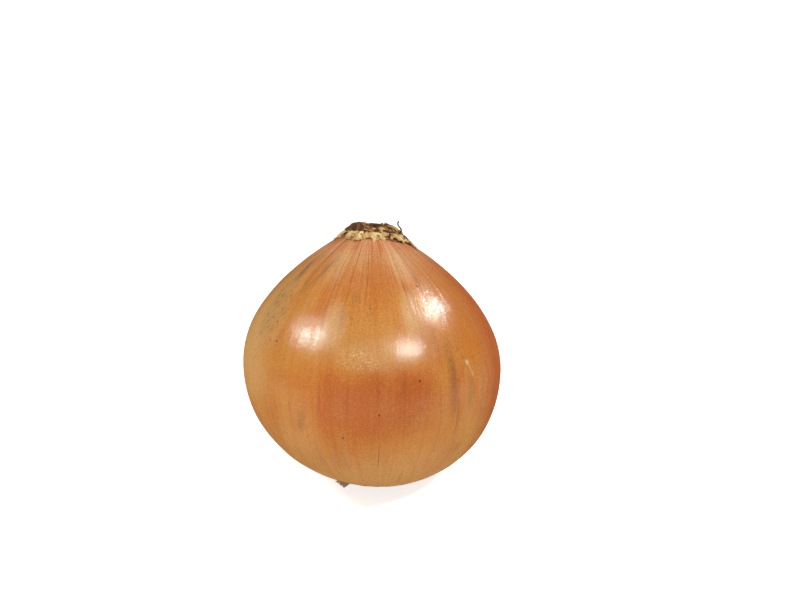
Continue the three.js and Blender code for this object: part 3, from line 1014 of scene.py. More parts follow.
@dataclass
class DryNeck:
    """The dry neck, a flattened papery tube of several skins folded under the bulb."""

    form: GrowthForm
    place: Placement
    bulb: Bulb
    length: float = 12.2
    root_shift: Pair = (-2.0, 1.7)  # of its foot, from the bulb's neck end
    back_reach: float = 4.4
    direction: float = 219.0  # degrees that it points in, on the table
    root_half_width: float = 3.4
    tip_half_width: float = 2.2
    waist: float = 1.1  # how much narrower it is halfway
    root_height: float = 6.4
    tip_height: float = 1.6
    thinned: float = 0.75
    gap: float = 0.3
    layers: tuple[tuple[float, float, int], ...] = (  # width, length and seed of each skin
        (1.0, 1.0, 51), (0.82, 0.93, 52), (0.62, 0.98, 53), (0.4, 0.86, 54),
    )
    around: int = 96
    stations: int = 46
    thickness: float = 0.14
    tip_thinning: float = 0.5
    crumple: Pair = (0.35, 4.5)  # height and wavelength
    fine_crumple: Pair = (0.25, 1.8)
    wrinkle: Pair = (0.06, 1.1)
    tear_length: float = 0.014  # of the neck's length
    lobe_length: float = 0.016
    pleat_depth: float = 0.05
    side_fall: float = 0.75  # how far the top falls to its two sides
    tip_fall: float = 0.93
    least_height: float = 0.12
    table_gap: float = 0.1
    ray_start: float = -50.0  # below the table

    def underside(self) -> Callable[[float, float], float]:
        """A function that gives the bulb's underside over a place of the table."""
        shell = self.bulb.shell()
        tree = BVHTree.FromPolygons(shell.points.tolist(), shell.faces)

        def height(x: float, y: float) -> float:
            """Height of the bulb over one place."""
            hit = tree.ray_cast(Vector((x, y, self.ray_start)), Vector((0.0, 0.0, 1.0)))
            return hit[0].z if hit[0] else self.root_height

        return height

    def layer(
        self, share: float, reach: float, seed: int, underside: Callable[[float, float], float]
    ) -> Shell:
        """One skin of the neck, a flattened tube with a ragged end.

        Args:
            share: Its width and height, as a share of the neck's.
            reach: Its length, as a share of the neck's.
            seed: Of its crumples.
            underside: Gives the bulb's underside.

        Returns:
            The closed skin.
        """
        root = self.place.world(self.form.skin(np.array(-1.0), np.array(0.0)))
        heading = math.radians(self.direction)
        outward = np.array([math.cos(heading), math.sin(heading)])
        sideways = np.array([-math.sin(heading), math.cos(heading)])
        around = np.linspace(0.0, 2.0 * np.pi, self.around, endpoint=False)[:, None]
        along = np.linspace(-1.0, 1.0, self.stations)[None, :]
        across = np.cos(around)
        out = np.maximum(along, 0.0)
        ragged = self.tear_length * out**3 * torn(around, seed)
        ragged = ragged + self.lobe_length * out**3 * np.sin(6.0 * across + 1.0)
        half_width = self.root_half_width + (self.tip_half_width - self.root_half_width) * out
        half_width = half_width - self.waist * np.sin(np.pi * out)
        half_width = half_width * np.sqrt(1.0 - 0.7 * np.minimum(along, 0.0) ** 2) * share
        pleats = self.pleat_depth * np.sin(9.0 * around + seed + 2.0 * along) * out
        forward = self.length * reach * (along + ragged)
        distance = np.where(along < 0.0, self.back_reach * along, forward)[..., None]
        side = (half_width * (across + pleats))[..., None]
        foot = root[:2] + np.array(self.root_shift) + distance * outward + side * sideways
        fall = (self.tip_height - self.root_height) * smooth(along, 0.0, self.thinned)
        top = (self.root_height + fall) * (1.0 - self.side_fall * across**4)
        spot = np.concatenate([foot, np.zeros_like(foot[..., :1])], -1)
        for offset, (tall, wavelength) in ((0, self.crumple), (9, self.fine_crumple)):
            top = top + tall * Ripples(seed + offset, wavelength).at(spot)
        room = [[underside(float(x), float(y)) for x, y in row] for row in foot]
        thinned = top * (1.0 - self.tip_fall * smooth(along, 0.5, 1.0))
        top = np.minimum(thinned, np.array(room) - self.gap)
        low = self.least_height + 0.3 * np.abs(across) ** 8 + 0.1 * out**6
        tall = np.maximum((top - low) / 2.0, self.least_height) * share
        swing = np.sign(np.sin(around)) * np.abs(np.sin(around)) ** 0.55
        wrinkle, wavelength = self.wrinkle
        height = (top + low) / 2.0 + tall * swing
        height = height + wrinkle * Ripples(seed + 30, wavelength).at(spot) * (swing > 0.0)
        points = np.concatenate([foot, np.maximum(height, self.table_gap)[..., None]], -1)
        edge = np.broadcast_to(out**6, top.shape)
        growth = np.broadcast_arrays(np.cos(around), np.sin(around), along * 0.3 + share)
        wear = np.broadcast_arrays(np.full_like(top, share), edge, (along + 1.0) / 2.0)
        thickness = self.thickness * (1.0 - self.tip_thinning * edge)
        return sheet_shell(points, thickness, np.stack(growth, -1), np.stack(wear, -1), True)

    def build(self, material: bpy.types.Material) -> bpy.types.Object:
        """Make the neck and dress it."""
        underside = self.underside()
        shells = [self.layer(share, reach, seed, underside) for share, reach, seed in self.layers]
        return Shell.joined(shells).piece("folded_neck", Node.NECK, Slot.NECK_PAPER, material)


# ---- Shader tools ----------------------------------------------------------------------


@dataclass(frozen=True)
class Rise:
    """An eased step: where it starts and is done, and what it gives there."""

    low: float | Socket
    high: float | Socket
    start: float = 0.0
    end: float = 1.0


@dataclass(frozen=True)
class Wash:
    """A colour laid over another, as far as a value has risen."""

    colour: Colour
    low: float
    high: float
    most: float = 1.0


@dataclass(frozen=True)
class Grain:
    """Noise drawn out along the growth."""

    across: float
    along: float
    detail: float = 3.0
    rough: float = 0.5
    bend: float = 0.0


@dataclass(frozen=True)
class Patch:
    """A soft-edged place of the skin."""

    name: str
    longitude: float  # degrees
    latitude: float
    half_width: float  # degrees
    half_length: float  # of latitude


@dataclass(frozen=True)
class Stain(Patch):
    """A streak, smudge or scratch in the skin, or a patch of painted sheen or reflection laid on
    like one.
    """

    strength: float
    colour: Colour
    slant: float = 0.0  # radians of longitude for a unit of latitude
    broken: float = 1.4  # how much the grain breaks it up
    flecked: float = 0.0  # how much of it is only flecks


class Board:
    """Places and links the nodes of one shader tree."""

    def __init__(self, tree: bpy.types.NodeTree) -> None:
        """Keep the tree."""
        self.tree = tree

    def node(self, kind: str, **settings: object) -> bpy.types.Node:
        """Place a node and set its properties.

        Args:
            kind: The node's type.
            **settings: Its properties by name.

        Returns:
            The node.
        """
        made = self.tree.nodes.new(kind)
        for name, value in settings.items():
            setattr(made, name, value)
        return made

    def join(self, source: object, target: Socket) -> None:
        """Link a socket to another, or set the target's own value.

        Args:
            source: A socket, or a number or colour.
            target: The input that takes it.
        """
        if isinstance(source, bpy.types.NodeSocket):
            self.tree.links.new(source, target)
        elif isinstance(source, tuple) and len(source) == 3 and target.type == "RGBA":
            target.default_value = (*source, 1.0)
        else:
            target.default_value = source

    def join_all(self, node: bpy.types.Node, sources: dict[str | int, object]) -> None:
        """Give a node's inputs, by name or number, what they take."""
        for name, source in sources.items():
            self.join(source, node.inputs[name])

    def math(self, operation: str, first: object, second: object = 0.0) -> Socket:
        """A Math node's result."""
        made = self.node("ShaderNodeMath", operation=operation)
        self.join_all(made, {0: first, 1: second})
        return made.outputs[0]

    def plus(self, first: object, second: object) -> Socket:
        """Two values added up."""
        return self.math("ADD", first, second)

    def minus(self, first: object, second: object) -> Socket:
        """The second value taken from the first."""
        return self.math("SUBTRACT", first, second)

    def times(self, first: object, second: object) -> Socket:
        """One value times another."""
        return self.math("MULTIPLY", first, second)

    def step(self, value: object, rise: Rise) -> Socket:
        """A value sent through an eased step.

        Args:
            value: What goes through it.
            rise: Where it starts and is done.

        Returns:
            The stepped value.
        """
        made = self.node("ShaderNodeMapRange", interpolation_type="SMOOTHSTEP")
        self.join_all(made, {"Value": value, "From Min": rise.low, "From Max": rise.high})
        self.join_all(made, {"To Min": rise.start, "To Max": rise.end})
        return made.outputs[0]

    def blend(self, share: object, first: object, second: object, mode: str = "MIX") -> Socket:
        """Two colours mixed by a share."""
        made = self.node("ShaderNodeMix", data_type="RGBA", blend_type=mode, clamp_factor=True)
        self.join_all(made, {"Factor": share, 6: first, 7: second})
        return made.outputs[2]

    def wash(self, under: object, *layers: tuple[Socket, Wash]) -> Socket:
        """Washes laid over a colour, each by its own value.

        Args:
            under: The colour beneath.
            *layers: Values and the washes that they bring out.

        Returns:
            The colour with all of them over it.
        """
        for value, wash in layers:
            share = self.step(value, Rise(wash.low, wash.high, 0.0, wash.most))
            under = self.blend(share, under, wash.colour)
        return under

    def noise(
        self, place: Socket, scale: object, detail: float, rough: float = 0.5, bend: float = 0.0
    ) -> Socket:
        """Noise, about 0.5 in the middle.

        Args:
            place: Where it is looked up.
            scale: How fine it is.
            detail: How many finer noises are on it.
            rough: How strong those are.
            bend: How far it is bent.

        Returns:
            The noise.
        """
        made = self.node("ShaderNodeTexNoise")
        sizes = {"Scale": scale, "Detail": detail, "Roughness": rough, "Distortion": bend}
        self.join_all(made, {"Vector": place, **sizes})
        return made.outputs["Fac"]

    def stretched(self, place: Socket, factors: object) -> Socket:
        """A place scaled along each of its axes."""
        made = self.node("ShaderNodeVectorMath", operation="MULTIPLY")
        self.join_all(made, {0: place, 1: factors})
        return made.outputs[0]

    def grain(self, growth: Socket, grain: Grain) -> Socket:
        """Noise drawn out along the growth."""
        place = self.stretched(growth, (grain.across, grain.across, grain.along))
        return self.noise(place, 1.0, grain.detail, grain.rough, grain.bend)

    def parts(self, vector: Socket) -> tuple[Socket, Socket, Socket]:
        """The three numbers of a vector."""
        made = self.node("ShaderNodeSeparateXYZ")
        self.join(vector, made.inputs[0])
        return made.outputs[0], made.outputs[1], made.outputs[2]

    def grey(self, value: Socket) -> Socket:
        """A grey of a value that changes over the surface."""
        made = self.node("ShaderNodeCombineColor")
        self.join_all(made, dict.fromkeys(range(3), value))
        return made.outputs[0]

    def mark(self, mark: Mark) -> Socket:
        """A mark that rides on the mesh."""
        return self.node("ShaderNodeAttribute", attribute_name=mark.value).outputs["Vector"]

    def place(self) -> Socket:
        """The point's place on the object, in metres."""
        return self.node("ShaderNodeTexCoord").outputs["Object"]

    def group(self, tree: bpy.types.NodeTree, label: str = "", **inputs: object) -> Ports:
        """Place a node group.

        Args:
            tree: The group.
            label: Of the node.
            **inputs: Sockets or values by input name, with _ for spaces.

        Returns:
            Its outputs by name.
        """
        made = self.node("ShaderNodeGroup", node_tree=tree, label=label)
        self.join_all(made, {name.replace("_", " "): value for name, value in inputs.items()})
        return {socket.name: socket for socket in made.outputs}


def new_group(
    name: str, inputs: dict[str, str], outputs: Sequence[str]
) -> tuple[Board, Ports, Ports]:
    """Start a shader node group.

    Args:
        name: Of the group.
        inputs: Socket kind by name.
        outputs: Names of its outputs, which are plain values.

    Returns:
        Its board, the sockets that its inputs give, and the ones that its outputs take.
    """
    tree = bpy.data.node_groups.new(name, "ShaderNodeTree")
    kinds = [(inputs, "INPUT"), (dict.fromkeys(outputs, "Float"), "OUTPUT")]
    for names, way in kinds:
        for socket, kind in names.items():
            tree.interface.new_socket(name=socket, in_out=way, socket_type=f"NodeSocket{kind}")
    board = Board(tree)
    given = {port.name: port for port in board.node("NodeGroupInput").outputs if port.name}
    taken = {port.name: port for port in board.node("NodeGroupOutput").inputs if port.name}
    return board, given, taken


def fibre_lines(board: Board, growth: Socket, stretch: object) -> tuple[Socket, Socket, Socket]:
    """Lines that run along the growth.

    Args:
        board: Of a group or a material.
        growth: The growth mark.
        stretch: How closely the lines stand across the growth, twice, and along it.

    Returns:
        The fine lines, the broad ones and the height that both make.
    """
    scaled = board.stretched(growth, stretch)
    fine = board.noise(scaled, 1.0, 2.0, 0.6)
    broad = board.noise(scaled, 0.17, 3.0, 0.6)
    return fine, broad, board.plus(board.times(fine, 0.55), board.times(broad, 0.6))


def fine_grain(board: Board, place: Socket, scale: object) -> Socket:
    """A fine grain all over a surface."""
    return board.noise(place, scale, 3.0, 0.65)


class Effects:
    """The shader node groups that several finishes use, each built once."""

    def __init__(self) -> None:
        """Build the groups."""
        self.fibres = self.build_fibres()
        self.specks = self.build_specks()
        self.mottle = self.build_mottle()
        self.streak = self.build_streak()

    @staticmethod
    def build_fibres() -> bpy.types.NodeTree:
        """Lines that run along the growth, fine ones and broad ones."""
        ports = {"Growth": "Vector", "Lines": "Float", "Stretch": "Float"}
        board, given, taken = new_group("Fibres", ports, ("Fine", "Broad", "Height"))
        spread = board.node("ShaderNodeCombineXYZ")
        board.join_all(spread, {0: given["Lines"], 1: given["Lines"], 2: given["Stretch"]})
        lines = fibre_lines(board, given["Growth"], spread.outputs[0])
        for line, port in zip(lines, ("Fine", "Broad", "Height")):
            board.join(line, taken[port])
        return board.tree

    @staticmethod
    def build_specks() -> bpy.types.NodeTree:
        """Small scattered dots, some of them left out."""
        ports = {"Place": "Vector", "Count": "Float", "Size": "Float", "Kept": "Float"}
        board, given, taken = new_group("Specks", ports, ("Mask",))
        cells = board.node("ShaderNodeTexVoronoi")
        board.join_all(cells, {"Vector": given["Place"], "Scale": given["Count"]})
        edge = Rise(given["Size"], board.times(given["Size"], 0.4))
        dot = board.step(cells.outputs["Distance"], edge)
        chosen = board.parts(cells.outputs["Color"])[0]
        kept = board.math("LESS_THAN", chosen, given["Kept"])
        board.join(board.times(dot, kept), taken["Mask"])
        return board.tree

    @staticmethod
    def build_mottle() -> bpy.types.NodeTree:
        """Soft clouds and a fine grain over them."""
        ports = {"Place": "Vector", "Cloud Scale": "Float", "Grain Scale": "Float"}
        board, given, taken = new_group("Mottle", ports, ("Cloud", "Grain"))
        cloud = board.noise(given["Place"], given["Cloud Scale"], 4.0, 0.55)
        board.join(cloud, taken["Cloud"])
        board.join(fine_grain(board, given["Place"], given["Grain Scale"]), taken["Grain"])
        return board.tree

    @staticmethod
    def build_streak() -> bpy.types.NodeTree:
        """A soft-edged patch at a place of the skin, drawn out along the growth."""
        names = (
            "Turn", "Latitude", "Middle Turn", "Middle Latitude",
            "Half Width", "Half Length", "Slant", "Break Up",
        )
        board, given, taken = new_group("Streak", dict.fromkeys(names, "Float"), ("Mask",))
        along = board.minus(given["Latitude"], given["Middle Latitude"])
        across = board.minus(given["Turn"], given["Middle Turn"])
        across = board.minus(across, board.times(along, given["Slant"]))
        reaches = []
        for distance, half in ((across, "Half Width"), (along, "Half Length")):
            share = board.math("ABSOLUTE", board.math("DIVIDE", distance, given[half]))
            reaches.append(board.math("POWER", share, 2.0))
        reach = board.plus(board.plus(*reaches), given["Break Up"])
        board.join(board.step(reach, Rise(1.15, 0.0)), taken["Mask"])
        return board.tree


class SkinMap:
    """Places of the skin, as one material finds them."""

    def __init__(self, board: Board, effects: Effects, bulb: Bulb) -> None:
        """Find longitude and latitude.

        Args:
            board: Of the material.
            effects: The shared groups.
            bulb: Gives the evenly spaced longitude of a place.
        """
        self.board, self.streak, self.bulb = board, effects.streak, bulb
        self.growth = board.mark(Mark.GROWTH)
        across, away, self.latitude = board.parts(self.growth)
        self.turn = board.math("ARCTAN2", away, across)

    def mask(self, patch: Patch, broken: object = 0.0, slant: float = 0.0) -> Socket:
        """Where a patch is.

        Args:
            patch: Its place and size.
            broken: Breaks it up where this is above 0.
            slant: How it slants across the growth.

        Returns:
            1 in its middle, 0 outside it.
        """
        return self.board.group(
            self.streak, patch.name, Turn=self.turn, Latitude=self.latitude,
            Middle_Turn=self.bulb.even_turn(patch.longitude), Middle_Latitude=patch.latitude,
            Half_Width=math.radians(patch.half_width), Half_Length=patch.half_length,
            Slant=slant, Break_Up=broken,
        )["Mask"]


@dataclass(frozen=True)
class Surface:
    """How rough, shiny and bumpy a finish is."""

    smoothest: float  # roughness where the grain is lowest
    grain: float  # how much roughness the grain adds
    shine: float
    bump: float = 0.0  # metres
    strength: float = 0.8

    def apply(
        self, board: Board, shader: bpy.types.Node, colour: Socket, grain: Socket,
        height: Socket | None = None, rougher: Sequence[Socket] = (),
    ) -> None:
        """Give a shader its colour, roughness, shine and bumps.

        Args:
            board: Of the material.
            shader: The Principled shader.
            colour: Its colour.
            grain: Adds to its roughness.
            height: Of the bumps.
            rougher: What else adds to its roughness.
        """
        board.join(colour, shader.inputs["Base Color"])
        rough = board.plus(self.smoothest, board.times(grain, self.grain))
        for more in rougher:
            rough = board.plus(rough, more)
        board.join(rough, shader.inputs["Roughness"])
        shader.inputs["Specular IOR Level"].default_value = self.shine
        if height is not None:
            board.join(self.bent(board, height), shader.inputs["Normal"])

    def bent(self, board: Board, height: Socket) -> Socket:
        """The normal, bent by the bumps of a height."""
        bump = board.node("ShaderNodeBump")
        board.join_all(bump, {"Distance": self.bump, "Strength": self.strength, "Height": height})
        return bump.outputs["Normal"]


def new_material(name: str) -> tuple[bpy.types.Material, Board, bpy.types.Node]:
    """Start a material.

    Args:
        name: Of the material.

    Returns:
        The material, its board and its Principled shader.
    """
    material = bpy.data.materials.new(name)
    material.use_nodes = True
    board = Board(material.node_tree)
    material.node_tree.nodes.clear()
    shader = board.node("ShaderNodeBsdfPrincipled")
    output = board.node("ShaderNodeOutputMaterial")
    board.join(shader.outputs["BSDF"], output.inputs["Surface"])
    return material, board, shader


# ---- Finishes --------------------------------------------------------------------------


@dataclass(frozen=True)
class OnionSkinFinish:
    """Satin copper skin: fibres, veins, warmer and paler zones, stains and specks; some zones and
    stains are painted shade, bounce light, sheen, reflection and glints.
    """

    amber: Colour = linear(205, 115, 38)
    # Deep orange of the skin; the deep band low on the front lays it on, partly as painted shade.
    deep: Colour = linear(183, 78, 16)
    pink: Colour = linear(232, 176, 134)
    # Red-orange at the hem: partly the skin's own colour, partly painted shade just below the torn
    # collar.
    ember_and_hem_shade: Colour = linear(196, 84, 30)
    gold: Colour = linear(210, 138, 48)
    rust: Colour = linear(187, 78, 24)
    pale: Colour = linear(214, 158, 94)
    vein: Colour = linear(120, 58, 30)
    soot: Colour = linear(96, 66, 48)
    brown: Colour = linear(120, 72, 40)
    # Pale colour of the painted glints on the front shoulder.
    scratch: Colour = linear(240, 204, 156)
    # Washes by the clouds, the grains and the latitude.
    tan_clouds: Wash = Wash(linear(210, 134, 54), 0.3, 0.7)
    pale_streaks: Wash = Wash(pale, 0.45, 0.75, 0.38)
    deep_streaks: Wash = Wash(deep, 0.48, 0.26, 0.3)
    rust_patches: Wash = Wash(rust, 0.52, 0.28, 0.32)
    # Paler below the girth: partly the skin's own colour, partly painted light bounced up from the
    # table.
    pale_belly_bounce_light: Wash = Wash(pale, -0.1, -0.6, 0.85)
    blush_shoulder: Wash = Wash(linear(201, 124, 74), 0.5, 0.74, 0.65)
    # Pinkish tan round the crown: a painted highlight of the light from above, near the collar.
    pink_crown_sheen: Wash = Wash(pink, 0.64, 0.84, 0.55)
    neck_end: Wash = Wash(linear(168, 116, 66), -0.78, -0.93, 0.9)
    rust_strands: Wash = Wash(rust, 0.5, 0.32, 0.3)
    pale_strands: Wash = Wash(pale, 0.52, 0.7, 0.12)
    brown_grain: Wash = Wash(brown, 0.52, 0.3, 0.36)
    pale_grain: Wash = Wash(pale, 0.5, 0.72, 0.27)
    # Noises drawn out along the growth.
    streaks: Grain = Grain(9.0, 1.1, 4.0, 0.6)
    patches: Grain = Grain(4.2, 2.6, 3.0, 0.62, 0.4)
    hem_shade_grain: Grain = Grain(12.0, 3.0)
    strands: Grain = Grain(30.0, 1.6, 3.0, 0.6)
    rays: Grain = Grain(24.0, 0.9, 3.0, 0.65)
    wander: Grain = Grain(5.0, 6.0, 2.0)
    sway: Grain = Grain(2.6, 0.4, 1.0)
    vein_gaps: Grain = Grain(30.0, 11.0)
    stain_grain: Grain = Grain(74.0, 20.0, 4.0, 0.7)
    fleck_grain: Grain = Grain(64.0, 30.0, 3.0, 0.75)
    fleck_flocks: Grain = Grain(15.0, 9.0, 2.0)
    combing: Grain = Grain(64.0, 3.2, 3.0, 0.6)
    # How far each of them comes through.
    gold_patches: Rise = Rise(0.46, 0.7, 0.0, 0.5)
    gold_in_deep_shade: Rise = Rise(0.0, 1.0, 1.0, 0.3)
    hem_shade_rise: Rise = Rise(0.4, 0.6, 0.25, 0.75)
    near_hem: Rise = Rise(0.77, 0.87)
    hem_raggedness: float = 0.09
    crowned: Rise = Rise(0.46, 0.72)
    pale_rays: Rise = Rise(0.5, 0.66, 0.0, 0.4)
    brown_rays: Rise = Rise(0.46, 0.34, 0.0, 0.16)
    fibre_shade: Rise = Rise(0.32, 0.68, 0.94, 1.04)
    # A deeper band low on the front: partly the skin's own deep orange, partly painted shade where
    # less light falls.
    deep_shade_zone: Patch = Patch("deep_shade_zone", -85.0, 0.01, 30.0, 0.21)
    deep_shade_break: float = 1.4
    deep_shade_share: float = 0.85
    # The veins, and the thinner ones between them.
    vein_wander: float = 0.07
    vein_sway: float = 16.0
    vein_line: Rise = Rise(0.955, 0.998)
    thin_line: Rise = Rise(0.94, 0.999, 0.0, 0.8)
    vein_patchy: Rise = Rise(0.38, 0.62)
    vein_reach: Rise = Rise(0.4, 0.66)
    vein_share: float = 0.75
    # Flecks, painted glints and dots.
    fleck: Rise = Rise(0.53, 0.62)
    fleck_flock: Rise = Rise(0.42, 0.6, 0.25, 1.0)
    stain_middle: float = 0.6
    # Painted glints: pale specks in a patch of the front shoulder, standing for sparkles of light.
    glint_zone: Patch = Patch("glints", -94.0, 0.225, 12.0, 0.075)
    glint_speck: Rise = Rise(0.53, 0.61)
    glint_clumps: Rise = Rise(0.4, 0.56, 0.2, 0.8)
    dot_share: float = 0.3
    # Relief, gloss and roughness.
    lines: float = 120.0
    stretch: float = 5.0
    grain_scale: float = 1900.0
    line_height: float = 0.45
    grain_height: float = 0.35
    surface: Surface = Surface(0.3, 0.12, 0.22, 0.00018)
    broad_rough: float = 0.1
    edge_rough: Rise = Rise(0.45, 0.85, 0.0, 0.4)
    coat_roughness: float = 0.2
    coat_ior: float = 1.86
    broad_gloss: Rise = Rise(0.38, 0.6, 0.7, 1.0)
    dapple_gloss: Rise = Rise(0.41, 0.55, 0.36, 1.0)
    combed_gloss: Rise = Rise(0.4, 0.6, 0.62, 1.0)
    upper_gloss: Rise = Rise(-0.2, 0.16, 0.12, 1.0)
    facing_gloss: Rise = Rise(0.68, 0.2, 0.04, 1.0)
    dull_zone: Patch = Patch("dull_flank", -6.0, 0.1, 46.0, 1.0)
    dull_gloss: Rise = Rise(0.0, 0.5, 1.0, 0.25)
    stains: tuple[Stain, ...] = (
        # Painted reflection: the deep orange along the right edge stands for a neighbouring onion
        # mirrored in the skin.
        Stain("orange_reflection_edge", -8.0, 0.1, 32.0, 0.9, 0.85, linear(180, 70, 6), 0.0, 0.7),
        Stain("amber_right", -38.0, 0.4, 19.0, 0.45, 0.6, linear(195, 106, 30), 0.0, 0.8),
        Stain("pale_left", -155.0, 0.24, 20.0, 0.5, 0.66, linear(226, 174, 108), 0.0, 0.8),
        Stain("gold_left", -128.0, 0.12, 22.0, 0.16, 0.4, linear(208, 134, 50), 0.0, 1.0),
        Stain("orange_left", -124.0, 0.06, 15.0, 0.07, 0.4, linear(201, 104, 36), 0.0, 1.0),
        # Golden between the highlights: partly the skin's own gold, partly a painted sheen of
        # their broad reflection.
        Stain("gold_and_sheen_middle", -90.0, 0.31, 38.0, 0.2, 0.5, linear(202, 140, 68), 0.0, 0.8),
        Stain("warm_middle", -86.0, -0.02, 46.0, 0.32, 0.34, linear(196, 104, 42), 0.0, 1.0),
        Stain("pale_crown_right", -62.0, 0.72, 14.0, 0.14, 0.3, linear(238, 198, 152), 0.0, 1.2),
        Stain("pale_crown_left", -119.0, 0.7, 13.0, 0.16, 0.26, linear(234, 192, 144), 0.0, 1.2),
        Stain("pale_low_left", -120.0, -0.2, 17.0, 0.2, 0.3, linear(228, 172, 106), 0.0, 1.0),
        # Painted sheen: pale patches round the highlights, the skin's broad reflection laid into
        # its colour.
        Stain("painted_sheen_left", -108.0, 0.38, 10.0, 0.15, 0.36, linear(232, 198, 154), 0.0, 1.0),
        Stain("painted_sheen_right", -68.0, 0.45, 8.0, 0.13, 0.26, linear(234, 202, 160), 0.0, 1.0),
        Stain("painted_sheen_middle", -86.0, 0.25, 25.0, 0.1, 0.24, linear(226, 182, 134), 0.0, 1.2),
        Stain("orange_right", -50.5, 0.12, 5.0, 0.1, 0.5, linear(197, 96, 34), 0.0, 1.0),
        Stain("orange_front", -84.0, 0.64, 16.0, 0.2, 0.45, linear(192, 100, 40), 0.0, 0.8),
        Stain("orange_top", -104.0, 0.6, 9.0, 0.1, 0.4, linear(197, 96, 44), 0.0, 0.8),
        Stain("tan_right", -62.0, 0.3, 9.0, 0.12, 0.4, linear(187, 124, 82), 0.0, 1.0),
        Stain("right_streak_soft", -54.0, 0.12, 4.2, 0.27, 0.42, linear(158, 92, 44), 0.0, 1.2),
        Stain("right_streak", -53.3, 0.09, 1.7, 0.22, 0.34, linear(128, 70, 34), 0.0, 1.8),
        Stain("right_streak_fork", -51.2, -0.08, 1.3, 0.12, 0.4, linear(124, 76, 46), 0.0, 1.8),
        Stain("right_grey", -44.0, 0.02, 3.0, 0.13, 0.35, linear(126, 90, 62), 0.0, 2.0),
        Stain("right_grey_edge", -36.0, 0.0, 2.0, 0.2, 0.3, linear(130, 90, 58), 0.0, 2.0),
        Stain("left_haze", -150.0, 0.42, 9.0, 0.26, 0.25, linear(140, 108, 74), -0.2, 1.6),
        Stain("left_flecks", -147.0, 0.4, 11.0, 0.26, 0.9, linear(76, 56, 50), -0.3, 1.0, 1.0),
        Stain("left_flecks_low", -150.0, 0.16, 8.0, 0.14, 0.5, linear(104, 76, 54), 0.0, 1.4, 1.0),
        Stain("left_dash", -152.0, 0.62, 3.0, 0.1, 0.75, linear(98, 78, 72), -0.3, 2.2, 0.3),
        Stain("left_grey", -129.0, 0.66, 2.6, 0.08, 0.65, linear(112, 88, 74), 0.6, 2.2, 0.2),
        Stain("left_grey_low", -134.0, 0.55, 2.2, 0.07, 0.55, linear(120, 90, 70), 0.6, 2.2, 0.4),
        Stain("front_smudge", -99.0, 0.52, 5.0, 0.05, 0.5, linear(130, 84, 52), 0.0, 2.6, 0.3),
        Stain("front_smudge_low", -104.0, 0.42, 3.6, 0.1, 0.4, linear(136, 88, 52), 0.0, 2.6, 0.3),
        Stain("front_dots", -92.0, 0.46, 14.0, 0.1, 0.5, linear(120, 72, 44), 0.0, 1.2, 1.0),
        Stain("front_streak", -86.3, 0.06, 1.3, 0.11, 0.34, linear(146, 78, 42), 0.0, 1.8),
        Stain("front_streak_right", -75.6, 0.08, 1.3, 0.13, 0.3, linear(150, 78, 34), 0.0, 1.8),
        Stain("front_streak_left", -98.0, -0.01, 1.2, 0.1, 0.34, linear(150, 70, 32), 0.0, 1.8),
        Stain("front_streak_far", -109.6, 0.01, 1.0, 0.14, 0.3, linear(150, 70, 34), 0.0, 1.8),
        Stain("left_smudge", -118.6, -0.12, 3.6, 0.09, 0.55, linear(136, 86, 46), 0.3, 2.4, 0.3),
        Stain("right_flecks", -48.0, 0.2, 12.0, 0.16, 0.5, linear(112, 72, 46), 0.0, 1.2, 1.0),
        Stain("right_smudge", -46.3, -0.28, 3.4, 0.05, 0.6, linear(128, 74, 58), 0.5, 2.6, 0.4),
        Stain("lower_vein", -85.6, -0.28, 0.45, 0.12, 0.5, linear(112, 60, 36), 0.05, 1.6),
        Stain("scratch", -43.2, 0.14, 1.0, 0.06, 0.4, linear(222, 196, 164), -0.5, 4.6),
        Stain("scratch_head", -44.6, 0.182, 1.5, 0.024, 0.6, linear(230, 214, 190), -0.4, 3.0),
        Stain("speck_a", -69.3, 0.122, 0.6, 0.009, 1.0, linear(66, 32, 18), 0.0, 0.0),
        Stain("speck_b", -85.7, -0.045, 0.55, 0.008, 0.95, linear(66, 32, 18), 0.0, 0.0),
        Stain("speck_c", -100.3, -0.175, 0.55, 0.008, 0.9, linear(72, 36, 20), 0.0, 0.0),
        Stain("speck_d", -135.4, 0.245, 0.7, 0.008, 0.8, linear(78, 40, 22), 0.0, 0.0),
        Stain("speck_e", -57.4, 0.585, 0.9, 0.008, 0.8, linear(78, 40, 22), 0.0, 0.0),
    )

    def ground(self, skin: SkinMap, mottle: Ports, fine: Socket) -> Socket:
        """The skin's colour without veins and stains, with the painted shade, bounce light and
        sheen of some zones.

        Args:
            skin: Of the material.
            mottle: The mottle group's outputs.
            fine: The fine fibres.

        Returns:
            The colour socket.
        """
        board, latitude, cloud = skin.board, skin.latitude, mottle["Cloud"]
        streaks = board.grain(skin.growth, self.streaks)
        colour = board.wash(
            self.amber, (cloud, self.tan_clouds), (streaks, self.pale_streaks),
            (streaks, self.deep_streaks),
        )
        # Painted shade, in part: the deep band low on the front.
        broken = board.times(board.minus(cloud, 0.5), self.deep_shade_break)
        deep = skin.mask(self.deep_shade_zone, broken)
        colour = board.blend(board.times(deep, self.deep_shade_share), colour, self.deep)
        patches = board.grain(skin.growth, self.patches)
        golden = board.times(
            board.step(patches, self.gold_patches), board.step(deep, self.gold_in_deep_shade)
        )
        colour = board.blend(golden, colour, self.gold)
        colour = board.wash(
            colour, (patches, self.rust_patches), (latitude, self.pale_belly_bounce_light),
            (latitude, self.blush_shoulder), (latitude, self.pink_crown_sheen),
        )
